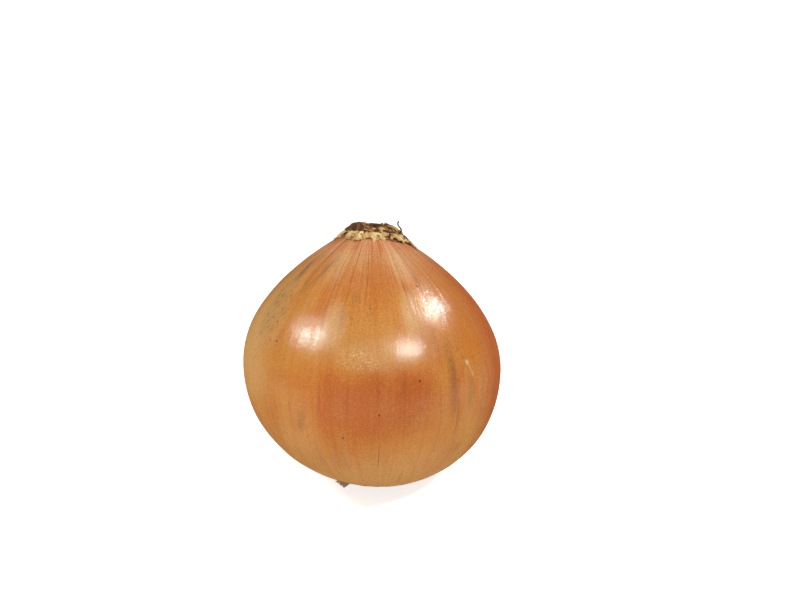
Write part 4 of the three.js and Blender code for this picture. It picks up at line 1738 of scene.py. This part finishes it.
        # Painted shade under the collar's hem: a red-orange band, partly the skin's own colour,
        # partly the collar's shadow.
        hem_shade = board.step(board.grain(skin.growth, self.hem_shade_grain), self.hem_shade_rise)
        hem = board.plus(latitude, board.times(streaks, self.hem_raggedness))
        hem_shade = board.times(hem_shade, board.step(hem, self.near_hem))
        colour = board.blend(hem_shade, colour, self.ember_and_hem_shade)
        strands = board.grain(skin.growth, self.strands)
        colour = board.wash(
            colour, (latitude, self.neck_end), (strands, self.rust_strands),
            (strands, self.pale_strands),
        )
        rays = board.grain(skin.growth, self.rays)
        crowned = board.step(latitude, self.crowned)
        for rise, over in ((self.pale_rays, self.pink), (self.brown_rays, self.brown)):
            share = board.times(board.step(rays, rise), crowned)
            colour = board.blend(share, colour, over)
        shade = board.grey(board.step(fine, self.fibre_shade))
        return board.blend(1.0, colour, shade, "MULTIPLY")

    def veins(self, skin: SkinMap) -> Socket:
        """Where the veins are: one on each rib, and thinner ones that sway between them.

        Args:
            skin: Of the material.

        Returns:
            1 on a strong vein, 0 between them.
        """
        board, growth = skin.board, skin.growth
        wander = board.minus(board.grain(growth, self.wander), 0.5)
        wandered = board.plus(skin.turn, board.times(wander, self.vein_wander))
        sway = board.times(board.grain(growth, self.sway), self.vein_sway)
        wave = board.math("COSINE", board.times(wandered, float(skin.bulb.vein_count)))
        thin = board.plus(board.times(wandered, 2.0 * skin.bulb.vein_count), sway)
        thin = board.step(board.math("COSINE", thin), self.thin_line)
        vein = board.math("MAXIMUM", board.step(wave, self.vein_line), thin)
        patchy = board.step(board.grain(growth, self.vein_gaps), self.vein_patchy)
        vein = board.times(vein, board.step(skin.latitude, self.vein_reach))
        return board.times(vein, board.times(patchy, self.vein_share))

    def stained(self, skin: SkinMap, colour: Socket) -> Socket:
        """A colour with the stains over it.

        Args:
            skin: Of the material.
            colour: Without stains.

        Returns:
            The colour socket.
        """
        board = skin.board
        grains = board.grain(skin.growth, self.stain_grain)
        flecks = board.step(board.grain(skin.growth, self.fleck_grain), self.fleck)
        flocks = board.step(board.grain(skin.growth, self.fleck_flocks), self.fleck_flock)
        flecks = board.times(flecks, flocks)
        for stain in self.stains:
            grain = board.times(board.minus(self.stain_middle, grains), stain.broken)
            strength = stain.strength
            if stain.flecked:
                least = (1.0 - stain.flecked) * stain.strength
                strength = board.step(flecks, Rise(0.0, 1.0, least, stain.strength))
            mask = skin.mask(stain, grain, stain.slant)
            colour = board.blend(board.times(mask, strength), colour, stain.colour)
        return colour

    def painted_glints(self, skin: SkinMap, place: Socket) -> Socket:
        """Where the painted glints of the front shoulder are: pale specks that stand for sparkles
        of light.

        Args:
            skin: Of the material.
            place: The point's place.

        Returns:
            1 on a painted glint, 0 elsewhere.
        """
        board = skin.board
        glints = board.step(board.noise(place, 2100.0, 3.0, 0.8), self.glint_speck)
        clumps = board.step(board.noise(place, 420.0, 2.0), self.glint_clumps)
        return board.times(glints, board.times(skin.mask(self.glint_zone), clumps))

    def gloss(self, skin: SkinMap, place: Socket, broad: Socket, facing: Socket) -> Socket:
        """How glossy the coat is.

        Args:
            skin: Of the material.
            place: The point's place.
            broad: The broad fibres.
            facing: How far the skin turns away from a viewer.

        Returns:
            The coat's weight.
        """
        board = skin.board
        gloss = board.step(broad, self.broad_gloss)
        for value, rise in (
            (board.noise(place, 1300.0, 2.0, 0.7), self.dapple_gloss),
            (board.grain(skin.growth, self.combing), self.combed_gloss),
            (skin.latitude, self.upper_gloss),
            (facing, self.facing_gloss),
            (skin.mask(self.dull_zone), self.dull_gloss),
        ):
            gloss = board.times(gloss, board.step(value, rise))
        return gloss

    def height(self, board: Board, lines: Socket, grain: Socket) -> Socket:
        """The height of the skin's fine relief."""
        return board.plus(
            board.times(lines, self.line_height), board.times(grain, self.grain_height)
        )

    def coat_normal(self, skin: SkinMap, place: Socket) -> Socket:
        """The coat's own normal, bent by the same relief without a group in between.

        Args:
            skin: Of the material.
            place: The point's place.

        Returns:
            The normal.
        """
        board = skin.board
        _, _, lines = fibre_lines(board, skin.growth, (self.lines, self.lines, self.stretch))
        grain = fine_grain(board, place, self.grain_scale)
        return self.surface.bent(board, self.height(board, lines, grain))

    def material(self, effects: Effects, bulb: Bulb) -> bpy.types.Material:
        """Build the material.

        Args:
            effects: The shared groups.
            bulb: That it dresses.

        Returns:
            The material.
        """
        material, board, shader = new_material("onion_skin_copper")
        place, skin = board.place(), SkinMap(board, effects, bulb)
        lines = board.group(
            effects.fibres, Growth=skin.growth, Lines=self.lines, Stretch=self.stretch
        )
        mottle = board.group(
            effects.mottle, Place=place, Cloud_Scale=62.0, Grain_Scale=self.grain_scale
        )
        colour = self.ground(skin, mottle, lines["Fine"])
        colour = self.stained(skin, board.blend(self.veins(skin), colour, self.vein))
        grain = mottle["Grain"]
        colour = board.wash(colour, (grain, self.brown_grain), (grain, self.pale_grain))
        # Painted glints: pale specks on the front shoulder.
        colour = board.blend(self.painted_glints(skin, place), colour, self.scratch)
        dots = board.group(effects.specks, Place=place, Count=950.0, Size=0.2, Kept=0.2)["Mask"]
        colour = board.blend(board.times(dots, self.dot_share), colour, self.soot)
        facing = board.node("ShaderNodeLayerWeight").outputs["Facing"]
        rougher = (
            board.times(lines["Broad"], self.broad_rough), board.step(facing, self.edge_rough)
        )
        height = self.height(board, lines["Height"], grain)
        self.surface.apply(board, shader, colour, grain, height, rougher)
        coat = {"Roughness": self.coat_roughness, "IOR": self.coat_ior}
        coat["Normal"] = self.coat_normal(skin, place)
        coat["Weight"] = self.gloss(skin, place, lines["Broad"], facing)
        board.join_all(shader, {f"Coat {name}": value for name, value in coat.items()})
        return material


@dataclass(frozen=True)
class TornPaperFinish:
    """Dry torn skin: cream paper with fibres, ochre shading and brown torn edges."""

    cream: Colour = linear(244, 213, 160)
    ochre: Colour = linear(190, 136, 68)
    brown: Colour = linear(128, 72, 36)
    edge: Colour = linear(168, 122, 66)
    olive_clouds: Wash = Wash(linear(206, 162, 104), 0.35, 0.65)
    ochre_lines: Wash = Wash(ochre, 0.56, 0.4, 0.6)
    ochre_blotch: Wash = Wash(ochre, 0.52, 0.36, 0.7)
    brown_blotch: Wash = Wash(brown, 0.45, 0.31, 0.9)
    # Low-toned sheets go brown; the darkest, the sheet under the hem, is a painted shadow.
    brown_and_shadow_sheets: Wash = Wash(brown, 0.75, 0.1)
    ochre_rim: Wash = Wash(ochre, 0.3, 0.0, 0.35)
    brown_lines: Wash = Wash(brown, 0.45, 0.25, 0.45)
    edge_rise: Rise = Rise(0.25, 1.0)
    edge_share: float = 0.55
    dot_share: float = 0.5
    surface: Surface = Surface(0.54, 0.2, 0.4, 0.0004)

    def material(self, effects: Effects) -> bpy.types.Material:
        """Build the material.

        Args:
            effects: The shared groups.

        Returns:
            The material.
        """
        material, board, shader = new_material("torn_skin_cream")
        place, growth = board.place(), board.mark(Mark.GROWTH)
        tone, edge, down = board.parts(board.mark(Mark.WEAR))
        lines = board.group(effects.fibres, Growth=growth, Lines=46.0, Stretch=14.0)
        mottle = board.group(effects.mottle, Place=place, Cloud_Scale=320.0, Grain_Scale=1700.0)
        blotch = board.noise(place, 620.0, 4.0, 0.65)
        colour = board.wash(
            self.cream, (mottle["Cloud"], self.olive_clouds), (lines["Broad"], self.ochre_lines),
            (blotch, self.ochre_blotch), (blotch, self.brown_blotch), (tone, self.brown_and_shadow_sheets),
        )
        edges = board.times(board.step(edge, self.edge_rise), self.edge_share)
        colour = board.blend(edges, colour, self.edge)
        colour = board.wash(colour, (down, self.ochre_rim), (lines["Fine"], self.brown_lines))
        dots = board.group(effects.specks, Place=place, Count=900.0, Size=0.2, Kept=0.25)["Mask"]
        colour = board.blend(board.times(dots, self.dot_share), colour, self.brown)
        self.surface.apply(board, shader, colour, mottle["Grain"], lines["Height"])
        return material


@dataclass(frozen=True)
class DryRootFinish:
    """Dry roots: straw on the ones that stand proud, partly a painted highlight, and dark brown
    deep in the mat, with painted shade at the sunk ends.
    """

    dark: Colour = linear(36, 19, 11)
    straw: Colour = linear(232, 184, 114)
    brown_tones: Wash = Wash(linear(124, 66, 32), 0.12, 0.42)
    olive_tones: Wash = Wash(linear(178, 110, 48), 0.36, 0.6)
    straw_tones: Wash = Wash(straw, 0.56, 0.88)
    purple_clouds: Wash = Wash(linear(108, 58, 36), 0.6, 0.4, 0.25)
    dark_lines: Wash = Wash(dark, 0.5, 0.3, 0.5)
    # Straw along some fibres: partly the roots' own pale fibres, partly painted highlights on the
    # strands' edges.
    ridge_highlight: Rise = Rise(0.54, 0.7, 0.0, 0.55)
    ridge_highlight_clouds: Rise = Rise(0.4, 0.6, 0.3, 1.0)
    # Painted shade: each strand darker towards its ends, where it sinks into the mat.
    sunk_end_shade: float = 0.35
    cloud_tone: float = 0.5
    dot_share: float = 0.4
    surface: Surface = Surface(0.6, 0.25, 0.35, 0.00015)

    def material(self, effects: Effects) -> bpy.types.Material:
        """Build the material.

        Args:
            effects: The shared groups.

        Returns:
            The material.
        """
        material, board, shader = new_material("dry_roots_olive")
        place, growth = board.place(), board.mark(Mark.GROWTH)
        tone, ends, _ = board.parts(board.mark(Mark.WEAR))
        # Painted shade at the strands' sunk ends.
        tone = board.minus(tone, board.times(ends, self.sunk_end_shade))
        lines = board.group(effects.fibres, Growth=growth, Lines=3.0, Stretch=14.0)
        mottle = board.group(effects.mottle, Place=place, Cloud_Scale=420.0, Grain_Scale=2400.0)
        fine, cloud = lines["Fine"], mottle["Cloud"]
        tone = board.plus(tone, board.times(board.minus(cloud, 0.5), self.cloud_tone))
        colour = board.wash(
            self.dark, (tone, self.brown_tones), (tone, self.olive_tones),
            (tone, self.straw_tones), (cloud, self.purple_clouds), (fine, self.dark_lines),
        )
        # Partly painted highlight: straw along the fibres where the clouds allow.
        ridge_highlight = board.times(board.step(fine, self.ridge_highlight), board.step(cloud, self.ridge_highlight_clouds))
        colour = board.blend(ridge_highlight, colour, self.straw)
        dots = board.group(effects.specks, Place=place, Count=1400.0, Size=0.25, Kept=0.3)["Mask"]
        colour = board.blend(board.times(dots, self.dot_share), colour, self.straw)
        self.surface.apply(board, shader, colour, mottle["Grain"], lines["Height"])
        return material


@dataclass(frozen=True)
class NeckPaperFinish:
    """The neck's dry paper: pale tan, with darker fibres and torn ends, all lifted near to white
    as painted light for the shade under the bulb.
    """

    # Painted light: these colours are lifted far above the paper's own tan, so that the neck looks
    # lit in the bulb's shade.
    tan: Colour = linear(250, 236, 210)
    brown: Colour = linear(230, 204, 166)
    edge: Colour = linear(246, 230, 204)
    grey_clouds: Wash = Wash(linear(248, 238, 218), 0.35, 0.65)
    brown_lines: Wash = Wash(brown, 0.55, 0.38, 0.75)
    inner_skins: Wash = Wash(brown, 0.9, 0.3, 0.4)
    edge_rise: Rise = Rise(0.3, 1.0)
    edge_share: float = 0.6
    dot_share: float = 0.45
    surface: Surface = Surface(0.6, 0.2, 0.4, 0.00025)

    def material(self, effects: Effects) -> bpy.types.Material:
        """Build the material.

        Args:
            effects: The shared groups.

        Returns:
            The material.
        """
        material, board, shader = new_material("neck_paper_tan")
        place, growth = board.place(), board.mark(Mark.GROWTH)
        tone, edge, _ = board.parts(board.mark(Mark.WEAR))
        lines = board.group(effects.fibres, Growth=growth, Lines=22.0, Stretch=5.0)
        mottle = board.group(effects.mottle, Place=place, Cloud_Scale=260.0, Grain_Scale=1500.0)
        colour = board.wash(
            self.tan, (mottle["Cloud"], self.grey_clouds), (lines["Broad"], self.brown_lines),
            (tone, self.inner_skins),
        )
        edges = board.times(board.step(edge, self.edge_rise), self.edge_share)
        colour = board.blend(edges, colour, self.edge)
        dots = board.group(effects.specks, Place=place, Count=700.0, Size=0.2, Kept=0.25)["Mask"]
        colour = board.blend(board.times(dots, self.dot_share), colour, self.edge)
        self.surface.apply(board, shader, colour, mottle["Grain"], lines["Height"])
        return material


@dataclass(frozen=True)
class TableTopFinish:
    """A plain pale table top with a very faint grain."""

    white: Colour = linear(228, 228, 228)
    clouds: Wash = Wash(linear(223, 223, 223), 0.3, 0.7)
    glow: float = 0.75
    surface: Surface = Surface(0.85, 0.1, 0.2)

    def material(self, effects: Effects) -> bpy.types.Material:
        """Build the material.

        Args:
            effects: The shared groups.

        Returns:
            The material.
        """
        material, board, shader = new_material("table_top_pale")
        mottle = board.group(
            effects.mottle, Place=board.place(), Cloud_Scale=3.0, Grain_Scale=160.0
        )
        colour = board.wash(self.white, (mottle["Cloud"], self.clouds))
        self.surface.apply(board, shader, colour, mottle["Grain"])
        shader.inputs["Emission Color"].default_value = (1.0, 1.0, 1.0, 1.0)
        seen = board.node("ShaderNodeLightPath").outputs["Is Camera Ray"]
        board.join(board.times(seen, self.glow), shader.inputs["Emission Strength"])
        return material


# ---- The studio ------------------------------------------------------------------------


LAMP_WHITE: Colour = (0.88, 1.0, 0.96)
FILL_WHITE: Colour = (1.0, 0.93, 0.8)


@dataclass(frozen=True)
class SoftLight:
    """One area light, placed by where its reflection falls on the skin."""

    name: str
    spot: Triple  # millimetres, on the skin
    heading: Triple  # from the spot to the light
    distance: float  # metres
    width: float  # metres
    height: float
    watts: float
    colour: Colour = LAMP_WHITE
    spread: float = 180.0  # degrees
    roll: float = 0.0  # degrees
    mirrored: bool = True  # seen in glossy surfaces

    def build(self) -> bpy.types.Object:
        """Make the light, facing the spot."""
        data = bpy.data.lights.new(self.name, "AREA")
        data.shape = "ELLIPSE"
        data.size, data.size_y = self.width, self.height
        data.energy, data.color = self.watts, self.colour
        data.spread = math.radians(self.spread)
        light = bpy.data.objects.new(self.name, data)
        light.visible_glossy = self.mirrored
        heading = Vector(self.heading).normalized()
        light.location = Vector(self.spot) * METRES + heading * self.distance
        roll = Quaternion((0.0, 0.0, 1.0), math.radians(self.roll))
        light.rotation_euler = (heading.to_track_quat("Z", "Y") @ roll).to_euler()
        bpy.context.collection.objects.link(light)
        return light


@dataclass
class Studio:
    """A pale table, plain soft light and the camera."""

    table_half_size: float = 4.0
    world_strength: float = 0.15
    camera_place: Triple = (0.009, -0.25194, 0.17645)
    camera_pitch: float = 65.5  # degrees up from straight down
    lens: float = 39.15
    sensor_width: float = 36.0
    clip: Pair = (0.01, 50.0)
    lights: tuple[SoftLight, ...] = (
        SoftLight(
            "right_window", (19.4, -16.5, 67.8), (0.668, 0.312, 0.676), 0.6, 0.12, 0.04, 1.8,
            roll=125.8,
        ),
        SoftLight(
            "left_window", (-17.0, -27.5, 63.1), (-0.71, -0.102, 0.697), 0.6, 0.15, 0.11, 1.6
        ),
        SoftLight(
            "front_lamp", (11.0, -32.1, 60.6), (0.503, -0.41, 0.761), 0.7, 0.045, 0.042, 1.75,
            roll=43.4,
        ),
        SoftLight(
            "backdrop_lamp", (0.0, 2300.0, 0.0), (0.0, 0.0, 1.0), 1.6, 5.0, 2.2, 18.0,
            (1.0, 1.0, 1.0), 70.0,
        ),
        SoftLight(
            "front_glow", (-0.9, -34.9, 59.9), (-0.044, -0.6, 0.8), 0.8, 1.4, 1.0, 0.95,
            FILL_WHITE, mirrored=False,
        ),
        SoftLight(
            "front_fill", (0.0, -40.0, 30.0), (-0.2, -1.0, 0.02), 1.3, 1.2, 0.6, 10.4,
            FILL_WHITE, mirrored=False,
        ),
    )

    def build_table(self, material: bpy.types.Material) -> None:
        """Make the table top.

        Args:
            material: Of the table top.
        """
        half = self.table_half_size
        corners = [(x * half, y * half, 0.0) for x, y in ((-1, -1), (1, -1), (1, 1), (-1, 1))]
        mesh = bpy.data.meshes.new("table_top")
        mesh.from_pydata(corners, [], [(0, 1, 2, 3)])
        mesh.materials.append(material)
        table = bpy.data.objects.new("table_top", mesh)
        bpy.context.collection.objects.link(table)

    def build_world(self) -> None:
        """Make the pale surroundings."""
        world = bpy.data.worlds.new("pale_room")
        world.use_nodes = True
        background = world.node_tree.nodes["Background"]
        background.inputs["Color"].default_value = (1.0, 1.0, 1.0, 1.0)
        background.inputs["Strength"].default_value = self.world_strength
        bpy.context.scene.world = world

    def build_camera(self) -> None:
        """Make the camera and look through it."""
        data = bpy.data.cameras.new("camera")
        data.lens, data.sensor_width = self.lens, self.sensor_width
        data.clip_start, data.clip_end = self.clip
        camera = bpy.data.objects.new("camera", data)
        camera.location = self.camera_place
        camera.rotation_euler = (math.radians(self.camera_pitch), 0.0, 0.0)
        bpy.context.collection.objects.link(camera)
        bpy.context.scene.camera = camera

    def build(self, effects: Effects) -> None:
        """Set up the studio.

        Args:
            effects: The shared groups.
        """
        self.build_table(TableTopFinish().material(effects))
        self.build_world()
        for light in self.lights:
            light.build()
        self.build_camera()
        bpy.context.scene.view_settings.view_transform = "Standard"
        LOG.info("studio: %d lights", len(self.lights))


# ---- The onion -------------------------------------------------------------------------


def main() -> None:
    """Build the onion and the studio round it."""
    logging.basicConfig(level=logging.INFO, format="%(name)s: %(message)s")
    effects = Effects()
    form = GrowthForm()
    place = Placement(form)
    bulb = Bulb(form, place)
    bulb.build(OnionSkinFinish().material(effects, bulb))
    TornSkin(form, place).build(TornPaperFinish().material(effects))
    RootMat(form, place).build(DryRootFinish().material(effects))
    DryNeck(form, place, bulb).build(NeckPaperFinish().material(effects))
    Studio().build(effects)


if __name__ == "__main__":
    main()
